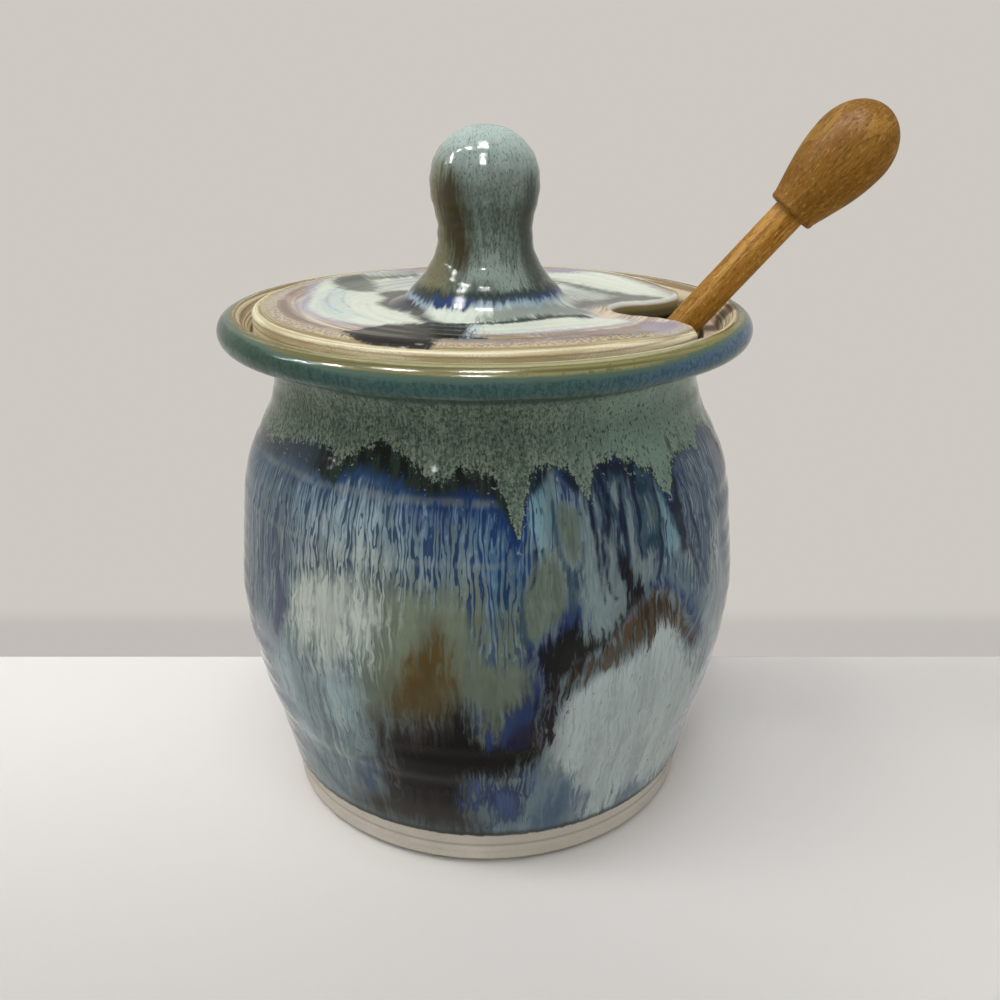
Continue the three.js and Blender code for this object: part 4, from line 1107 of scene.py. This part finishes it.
def lid_material():
    s = Sheet("lid_glaze")
    flow, place = s.vector_mark("flow"), s.place()
    reach, front, rise = s.mark("reach"), s.mark("front"), s.mark("rise")
    ring_noise = s.noise(flow, (0.035, 0.035, 0.7), 3, 0.6, 0.3)
    fine_ring = s.noise(flow, (0.06, 0.06, 2.4), 2, 0.5, 0.2, 4.0)
    radial = s.noise(flow, (1.3, 1.3, 0.16), 3, 0.6, 0.2, 9.0)
    cloud = s.noise(place, (0.09, 0.09, 0.09), 4, 0.6, 0.5, 2.0)
    ragged = s.noise(place, (0.5, 0.5, 0.5), 4, 0.65, 0.3, 6.0)
    grit = s.noise(place, (1.8, 1.8, 1.8), 2, 0.6, 0.0, 3.0)
    grain = s.noise(place, (4, 4, 4), 2, 0.6)

    def edge(name, ragged_by, streaked_by):
        return s.mark(name) + (ragged - 0.5) * ragged_by + (radial - 0.5) * streaked_by

    rings = ring_noise + (fine_ring - 0.5) * 0.7
    colour = s.coat((162, 142, 128), rings, 0.36, 0.64, (212, 196, 170))
    colour = s.coat(colour, reach + (ring_noise - 0.5) * 5, 37.4, 39.6, (154, 134, 130), 0.75)
    far = ("lilac_edge", "pale", "left_blue", "mist", "arcs")
    middle = ("cloudy_grey", "feather", "shadow_grey", "blue_black", "stroke")
    near = ("mauve", "mauve_brown", "lilac", "tan_stripe", "slate_stripe", "grey_disc", "black_disc", "ink", "grains")
    colour = s.lay(colour, LID_LAYERS, far + middle + near, edge)
    # Blue-white stripes beside the dark disc: a painted reflection.
    reflection_place = s.band(s.mark("grey_disc"), -3.0, -0.3, 0.2, 1.6) * s.band(front, -8, -4, 1, 6)
    reflection_place = reflection_place * s.step(reach, 34.5, 33)
    reflected_stripes = s.coat((84, 98, 108), radial, 0.44, 0.54, (190, 202, 208))
    colour = s.blend(reflection_place * 0.85, colour, reflected_stripes)
    speck = s.step(grit, 0.66, 0.72)
    colour = s.blend(speck * 0.35, colour, (110, 114, 108))
    colour = s.shade(colour, s.step(rings, 0.3, 0.7, 0.94, 1.04))

    # Towards the edge come pale grains, a golden line and bare clay. The slot's wall and rim come last.
    disc = s.step(s.mark("grey_disc"), 0.6, -0.4)
    grains = s.band(reach, 40.4, 41.2, 42.4, 43.2) * s.step(grit, 0.45, 0.56)
    colour = s.blend(grains * disc * 0.8, colour, (200, 190, 150))
    gold = s.band(reach + (ragged - 0.5) * 0.8, 42.6, 43.3, 44.2, 44.9)
    colour = s.blend(gold * disc * 0.8, colour, s.coat((132, 114, 66), fine_ring, 0.4, 0.6, (184, 170, 118)))
    clay = s.step(reach + (ragged - 0.5) * 0.9, 44.0, 44.7)
    low = s.step(rise, -0.9, -1.6)
    clay = s.math("MAXIMUM", clay, low)
    clay_tone = s.coat((182, 168, 130), fine_ring + (grain - 0.5) * 0.3, 0.4, 0.6, (220, 212, 182))
    for level in (0.35, 1.5, 2.6):
        line = s.close(rise + level + (ragged - 0.5) * 0.5, 0.06, 0.26)
        clay_tone = s.blend(line * 0.5, clay_tone, (130, 106, 68))
    colour = s.blend(clay, colour, clay_tone)
    in_slot = s.step(reach, 43.6, 42.6)
    slot_wall = s.coat((100, 92, 64), rise, -3.4, -2.0, (158, 142, 96))
    colour = s.blend(s.step(rise, -1.0, -1.8) * in_slot, colour, slot_wall)
    slot_rim = s.step(s.mark("edge") + (ragged - 0.5) * 0.7, 1.3, 0.6) * in_slot * s.step(rise, -2.0, -1.2)
    colour = s.blend(slot_rim * 0.85, colour, (216, 214, 204))
    roughness = 0.1 + (grain - 0.5) * 0.05 + clay * 0.4
    height = (ring_noise - 0.5) * 1.2 + (cloud - 0.5) * 3.0 + (fine_ring - 0.5) * 0.4 + (grit - 0.5) * 0.2
    return s.finish(colour, roughness, s.relief(height, 0.06 * MM), IOR=GLAZE_IOR, Specular_IOR_Level=0.06)


# The knob. Drawings are in degrees from the front and millimetres up its side, from KNOB_START at the lid.
KNOB_START = 10.5
KNOB_SINK = 0.12  # how far the glaze of the foot reaches into the lid
KNOB_CROWN = 0.95
NECK_SHARES = [(0.44, 0.1), (0.49, 0.34), (0.55, 0.67), (0.61, 0.91)]  # between the waist and the bulb
FLARE_SHARES = [  # between the lid and the waist
    (0, 1), (0.004, 0.93), (0.014, 0.84), (0.034, 0.7), (0.09, 0.53), (0.174, 0.29), (0.26, 0.115), (0.34, 0.04),
    (0.39, 0.03),
]
KNOB_FOOT_LAYERS = ("mist", "cloudy_grey", "feather", "shadow_grey", "blue_black", "stroke")
KNOB_GROWTH = 0.12
KNOB_DEGREE = 0.17
KNOB_LAYERS = {
    "olive_light": ((110, 104, 74), 2.4, 2.4, 5, 0.85, [
        [(-84, 16), (-84, 34), (-70, 40), (-56, 42), (-46, 38), (-44, 30), (-40, 24), (-34, 19), (-36, 16),
        (-50, 14)]]),
    "olive_dark": ((60, 50, 24), 2.2, 2, 7, 0.95, [
        [(-20, 24), (-18, 29), (-20, 35), (-28, 39.6), (-44, 40.6), (-54, 37), (-54, 30), (-46, 26), (-36, 24),
        (-28, 22)]]),
    "smoke": ((52, 60, 52), 1.6, 2.4, 5, 0.8, [
        [(44, 18), (46, 26), (44, 34), (50, 40), (66, 38), (74, 28), (66, 20)], [(-30, 16.5), (-27, 20), (-25, 25),
        (-29, 28), (-35, 24), (-36, 18)], [(-16, 17), (-12, 20), (6, 20), (12, 17)]]),
    "frost": ((138, 152, 144), 0.6, 2.4, 5, 0.6, [
        [(-14, 18), (-20, 21), (-18, 26), (-10, 24), (8, 26), (22, 24), (30, 20), (20, 18)], [(38, 19, 0.4),
        (40, 23, 0.5), (42, 27, 0.3)], [(-8, 34, 0.4), (-9, 30, 0.5)]]),
}


def make_knob():
    base, waist, bulb_radius = KNOB_BASE_RADIUS, KNOB_WAIST_RADIUS + KNOB_GROWTH, KNOB_BULB_RADIUS + KNOB_GROWTH
    flare = [(mix(waist, base, s), LID_TOP + KNOB_HEIGHT * r) for r, s in FLARE_SHARES]
    flare[0] = (base + 0.1, LID_TOP - KNOB_SINK)
    neck = [(mix(waist, bulb_radius, s), LID_TOP + KNOB_HEIGHT * r) for r, s in NECK_SHARES]
    middle = LID_TOP + KNOB_HEIGHT - KNOB_BULB_RADIUS - KNOB_GROWTH
    bulb = arc((0, 0), bulb_radius, 0, 90, 22) * (1, KNOB_CROWN) + (0, middle)
    path = evened(spline([*flare, *neck, *bulb[:-3]], 8), KNOB_STEP)
    path = np.vstack([path, bulb[-2:]])
    path[-1, 0] = 0
    profile = np.vstack([[(0, LID_TOP - KNOB_SINK)], path])
    points, faces, azimuth, along = turned(profile, even_angles(KNOB_SIDES))
    length = along - np.hypot(*(profile[1] - profile[0])) + KNOB_START
    degrees = front_degrees(azimuth)
    wobble = 0.05 * np.sin(length * 1.9 + azimuth) + 0.05 * np.sin(length * 0.9 - 2 * azimuth)
    push(points, azimuth, wobble * smoothstep(15, 19, length) * (1 - smoothstep(50, 54, length)))
    x, y = plan_place(points)
    marks = {"flow": flow_marks(azimuth, length, 10.0), "length": length, "degrees": degrees}
    for name in KNOB_FOOT_LAYERS:
        marks[name] = drawn(x, y, LID_LAYERS[name][-1])
    for name, (*_, shapes) in KNOB_LAYERS.items():
        marks[name] = drawn(degrees * KNOB_DEGREE, length, scaled(shapes, KNOB_DEGREE))
    knob = mesh_object("glazed_knob", points, faces, marks)
    knob.data.materials.append(knob_material())
    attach(knob, "lid")
    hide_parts("lid_knob")


def knob_material():
    s = Sheet("knob_glaze")
    flow, place = s.vector_mark("flow"), s.place()
    length, degrees = s.mark("length"), s.mark("degrees")
    streak = s.noise(flow, (1.5, 1.5, 0.16), 3, 0.6, 0.3)
    mottle = s.noise(flow, (2.8, 2.8, 1.0), 3, 0.65, 0.4, 3.0)
    ragged = s.noise(flow, (0.8, 0.8, 0.35), 4, 0.65, 0.3, 8.0)
    cloud = s.noise(place, (0.12, 0.12, 0.08), 3, 0.6, 0.4, 5.0)
    grain = s.noise(place, (4, 4, 4), 2, 0.6)

    def edge(name, ragged_by, streaked_by):
        return s.mark(name) + (ragged - 0.5) * ragged_by + (streak - 0.5) * streaked_by

    tone = s.coat((84, 97, 89), mottle + (streak - 0.5) * 0.8, 0.34, 0.66, (118, 131, 121))
    tone = s.coat(tone, degrees + (streak - 0.5) * 30, -10, -60, (112, 112, 92), 0.6)
    tone = s.coat(tone, length + (cloud - 0.5) * 6, 33, 52, (178, 196, 190), 0.85)
    tone = s.shade(tone, s.step(cloud, 0.3, 0.7, 0.86, 1.1))
    tone = s.lay(tone, KNOB_LAYERS, ("frost", "smoke", "olive_light", "olive_dark"), edge)
    flecks = s.step(s.noise(flow, (3.2, 3.2, 1.3), 1.5, 0.5, 0.0, 13.0), 0.58, 0.66)
    tone = s.blend(flecks * 0.55, tone, (52, 62, 56))

    # The glaze runs out into a blue ring and then into the pale glaze of the lid.
    low = length + (streak - 0.5) * 4.4 + (mottle - 0.5) * 1.2 + (cloud - 0.5) * 3.0
    tone = s.coat(tone, low, 19.4, 17.4, (38, 48, 44), 0.85)
    side = s.close(degrees + 26, 10, 20)
    other = s.band(degrees, 34, 50, 70, 84)
    blue = s.blend(s.math("MAXIMUM", side, other), (54, 68, 82), (40, 60, 100))
    tone = s.coat(tone, low, 17.4, 16.6, blue)
    tone = s.coat(tone, low + side * 1.2, 16.6, 15.2, (142, 160, 170))
    pale = s.coat((198, 206, 196), streak, 0.4, 0.6, (209, 215, 199))
    pale = s.lay(pale, LID_LAYERS, KNOB_FOOT_LAYERS, edge)
    tone = s.coat(tone, low, 15.4, 14.0, pale)
    roughness = 0.075 + (grain - 0.5) * 0.04
    height = (mottle - 0.5) * 0.25 + (cloud - 0.5) * 3.0
    return s.finish(tone, roughness, s.relief(height, 0.04 * MM), IOR=GLAZE_IOR, Specular_IOR_Level=0.2)


# The dipper

def wood_material(name, tint, offset):
    s = Sheet(name)
    local = s.vector_mark("grain")
    bend = s.noise(local, (0.09, 0.09, 0.03), 2, 0.5, 0.0, offset)
    rings = s.noise(local, (0.34, 0.12, 0.022), 3, 0.6, 1.2, offset)
    figure = s.close(rings + (bend - 0.5) * 0.4 - 0.5, 0.0, 0.05)
    fibre = s.noise(local, (2.4, 2.4, 0.16), 3, 0.7, 0.2, offset + 3)
    flake = s.noise(local, (2.6, 2.6, 0.75), 2, 0.6, 0.3, offset + 8)
    cloud = s.noise(local, (0.12, 0.12, 0.06), 2, 0.5, 0.2, offset + 5)
    tone = s.coat((146, 100, 34), rings + (fibre - 0.5) * 0.6, 0.34, 0.66, (184, 138, 66))
    tone = s.blend(figure * 0.5, tone, (108, 66, 14))
    tone = s.coat(tone, cloud + (rings - 0.5) * 0.6, 0.46, 0.64, (124, 80, 20), 0.55)
    tone = s.coat(tone, fibre, 0.5, 0.66, (118, 74, 18), 0.5)
    tone = s.coat(tone, flake, 0.57, 0.66, (92, 56, 10), 0.55)
    tone = s.coat(tone, flake, 0.42, 0.32, (208, 164, 96), 0.45)
    tone = s.shade(tone, s.step(cloud, 0.3, 0.7, 0.94, 1.06) * tint)
    roughness = 0.46 + (fibre - 0.5) * 0.2
    height = (fibre - 0.5) * 0.6 - s.step(flake, 0.58, 0.68) * 0.5
    return s.finish(tone, roughness, s.relief(height, 0.1 * MM), IOR=WOOD_IOR, Specular_IOR_Level=0.04)


def lean(points):
    c, n = math.cos(DIPPER_LEAN), math.sin(DIPPER_LEAN)
    x = points[:, 0] * c + points[:, 2] * n + DIPPER_END[0]
    z = points[:, 2] * c - points[:, 0] * n + DIPPER_END[2]
    return np.stack([x, points[:, 1] + DIPPER_END[1], z], 1)


def dipper_piece(name, node, profile, tint, offset):
    points, faces, _, _ = turned(profile, even_angles(WOOD_SIDES))
    piece = mesh_object(name, lean(points), faces, {"grain": points})
    piece.data.materials.append(wood_material(name + "_wood", tint, offset))
    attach(piece, "dipper")
    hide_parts(node)


def barrel_radius(along):
    dome = math.sqrt(max(0.0, HEAD_RADIUS**2 - max(0.0, HEAD_RADIUS - along) ** 2))
    past = max(0.0, along - HEAD_LENGTH / 2) / (HEAD_LENGTH / 2)
    return dome - (HEAD_RADIUS - HEAD_HUB_RADIUS) * past**3


def make_dipper():
    shoulder = DIPPER_LENGTH - GRIP_LENGTH
    bore = SHAFT_RADIUS + GLUE_GAP
    bore_bottom = HEAD_LENGTH - HEAD_BORE_DEPTH
    first = HEAD_LENGTH / 2 - GROOVE_COUNT * GROOVE_PITCH / 2 + (GROOVE_PITCH - GROOVE_WIDTH) / 2
    corners = [(0, 0, 0)] + [(r, z, 0) for r, z in arc((0, HEAD_RADIUS), HEAD_RADIUS, -86, -44, 10)]
    core = HEAD_RADIUS - GROOVE_DEPTH
    for i in range(GROOVE_COUNT):
        start = first + i * GROOVE_PITCH
        end = start + GROOVE_WIDTH
        before, after = barrel_radius(start), barrel_radius(end)
        low = min(core, before - GROOVE_DEPTH, after - GROOVE_DEPTH)
        corners += [(before, start, 0.3), (low, start + 0.5, 0.5), (low, end - 0.5, 0.5), (after, end, 0.3)]
    corners += [(HEAD_HUB_RADIUS, HEAD_LENGTH, 0.6), (bore, HEAD_LENGTH, 0)]
    corners += [(bore, bore_bottom, 0), (0, bore_bottom, 0)]
    dipper_piece("turned_head", "dipper_head", rounded(corners, 3), 0.85, 21.0)

    bottom = bore_bottom + GLUE_GAP
    top = shoulder + GRIP_BORE_DEPTH - GLUE_GAP
    side = evened([(SHAFT_RADIUS, bottom + SHAFT_BEVEL), (SHAFT_RADIUS, top - SHAFT_BEVEL)], COARSE_STEP)
    end = SHAFT_RADIUS - SHAFT_BEVEL
    shaft = np.vstack([[(0, bottom), (end, bottom)], side, [(end, top), (0, top)]])
    dipper_piece("turned_shaft", "dipper_shaft", shaft, 1.16, 2.0)

    bulb_height = DIPPER_LENGTH - GRIP_BULB_DROP
    swell = bezier(
        (GRIP_SHOULDER_RADIUS, shoulder + GRIP_SHOULDER_ROUND),
        (mix(GRIP_SHOULDER_RADIUS, GRIP_BULB_RADIUS, 0.5), mix(shoulder, bulb_height, 0.4)),
        (GRIP_BULB_RADIUS, mix(shoulder, bulb_height, 0.65)),
        (GRIP_BULB_RADIUS, bulb_height),
        24,
    )
    quarter = arc((0, 0), 1, 0, 90, 20)[1:]
    tip = np.stack([quarter[:, 0] * GRIP_BULB_RADIUS, bulb_height + quarter[:, 1] * GRIP_BULB_DROP], 1)
    tip[-1, 0] = 0
    bore_top = shoulder + GRIP_BORE_DEPTH
    corners = [(0, bore_top, 0), (bore, bore_top, 0), (bore, shoulder, 0.15)]
    corners += [(GRIP_SHOULDER_RADIUS, shoulder, 0.8), (*swell[0], 0)]
    low = rounded(corners, 5)
    dipper_piece("turned_grip", "dipper_grip", np.vstack([low[:-1], swell, tip]), 0.83, 11.0)


# Floor, backdrop, light and camera
WALL_COLOUR = srgb(206, 202, 195)
HORIZON_LIGHT, ZENITH_LIGHT = 0.5, 0.72
CEILING = 1.5  # metres
CEILING_LAMPS = [  # x and y in heights of the ceiling, and watts
    (0.0, -0.17, 5.2), (-0.4, -0.2, 5.2), (-0.88, -0.175, 3.2), (-1.385, -0.13, 3.0), (-1.85, 0.04, 3.0),
    (0.0, -0.76, 5.4),
]
SOFT_SIZE = (0.42, 0.34)
PANEL_SIZE = (0.27, 0.2)
PANEL_WATTS = 70.0
LAMP_COLOUR = (1.0, 0.995, 0.98)
ROOM_COLOUR = (0.96, 0.98, 1.0)
STAGE_HALF = 4000.0
STAGE_SWEEP = [(-3000, 0, 0), (1100, 0, 700), (1100, 3000, 0)]  # back, height and rounding
WALL_LINE = 36.0  # how far behind the pot's axis the picture's wall begins, in millimetres
CAMERA_PLACE = (0.01863, -0.19975, 0.1405)
CAMERA_TILT = math.radians(68.2)
LENS = 36.0


def make_stage():
    sweep = rounded(STAGE_SWEEP, 24)
    points = [(side * STAGE_HALF, y, z) for y, z in sweep for side in (-1, 1)]
    faces = [(2 * i, 2 * i + 1, 2 * i + 3, 2 * i + 2) for i in range(len(sweep) - 1)]
    floor = mesh_object("floor", points, faces)
    s = Sheet("stage_paint")
    split = s.node("ShaderNodeSeparateXYZ", {0: s.place()})
    x, y = split, Signal(s, split.socket.node.outputs[1])
    away = y - x * math.tan(PLAN_TURN)
    behind = s.step(away, WALL_LINE - 0.3, WALL_LINE + 0.3)
    # Painted shade: the table is darker towards the front and towards the right.
    table = s.coat((192, 189, 185), away, -110, 30, (231, 227, 224))
    table = s.coat(table, x, 20, 130, (212, 209, 205))
    s.finish(table, 0.6, Specular_IOR_Level=0.03)
    # Painted shade: the wall is darker in a band just above the table.
    wall_tone = s.coat((205, 201, 194), away, 66, 52, (193, 188, 183))
    wall = s.nodes.new("ShaderNodeEmission")
    s.put(wall.inputs["Color"], wall_tone)
    ray = s.nodes.new("ShaderNodeLightPath")
    seen = s.math("MAXIMUM", Signal(s, ray.outputs["Is Camera Ray"]), Signal(s, ray.outputs["Is Glossy Ray"]))
    choice = s.nodes.new("ShaderNodeMixShader")
    s.put(choice.inputs[0], seen * behind)
    s.links.new(s.shader.outputs[0], choice.inputs[1])
    s.links.new(wall.outputs[0], choice.inputs[2])
    s.links.new(choice.outputs[0], s.output.inputs[0])
    floor.data.materials.append(s.material)


def make_light():
    world = bpy.data.worlds.new("room")
    bpy.context.scene.world = world
    world.use_nodes = True
    nodes, links = world.node_tree.nodes, world.node_tree.links
    nodes.clear()
    output = nodes.new("ShaderNodeOutputWorld")
    fill, seen = nodes.new("ShaderNodeBackground"), nodes.new("ShaderNodeBackground")
    fill.inputs[0].default_value = (*ROOM_COLOUR, 1)
    seen.inputs[0].default_value = (*WALL_COLOUR, 1)
    seen.inputs[1].default_value = 1.0
    # The room is brighter towards its ceiling.
    direction, split, rise = (nodes.new("ShaderNode" + kind) for kind in ("TexCoord", "SeparateXYZ", "MapRange"))
    links.new(direction.outputs["Generated"], split.inputs[0])
    links.new(split.outputs[2], rise.inputs["Value"])
    rise.inputs["To Min"].default_value, rise.inputs["To Max"].default_value = HORIZON_LIGHT, ZENITH_LIGHT
    links.new(rise.outputs[0], fill.inputs[1])
    choice, ray = nodes.new("ShaderNodeMixShader"), nodes.new("ShaderNodeLightPath")
    links.new(ray.outputs["Is Camera Ray"], choice.inputs[0])
    links.new(fill.outputs[0], choice.inputs[1])
    links.new(seen.outputs[0], choice.inputs[2])
    links.new(choice.outputs[0], output.inputs[0])

    # Lamps in the ceiling: wide soft ones that light the object, and their bright panels that only gloss mirrors.
    for index, (x, y, power) in enumerate(CEILING_LAMPS):
        for kind, size, watts in (("soft", SOFT_SIZE, power), ("panel", PANEL_SIZE, PANEL_WATTS)):
            lamp = bpy.data.lights.new(f"{kind}_lamp_{index}", "AREA")
            lamp.shape = "RECTANGLE"
            lamp.size, lamp.size_y = size
            lamp.energy = watts
            lamp.color = LAMP_COLOUR
            holder = bpy.data.objects.new(lamp.name, lamp)
            bpy.context.scene.collection.objects.link(holder)
            holder.location = (x * CEILING, y * CEILING, CEILING)
            holder.visible_glossy = kind == "panel"
            holder.visible_diffuse = kind == "soft"


def make_camera():
    camera = bpy.data.cameras.new("camera")
    camera.lens, camera.sensor_width = LENS, 36.0
    camera.clip_start = 0.01
    holder = bpy.data.objects.new("camera", camera)
    bpy.context.scene.collection.objects.link(holder)
    holder.location = CAMERA_PLACE
    holder.rotation_euler = (CAMERA_TILT, 0, PLAN_TURN)
    bpy.context.scene.camera = holder


make_pot()
make_lid()
make_knob()
make_dipper()
make_stage()
make_light()
make_camera()
bpy.context.scene.view_settings.view_transform = "Standard"

bpy.context.view_layer.update()
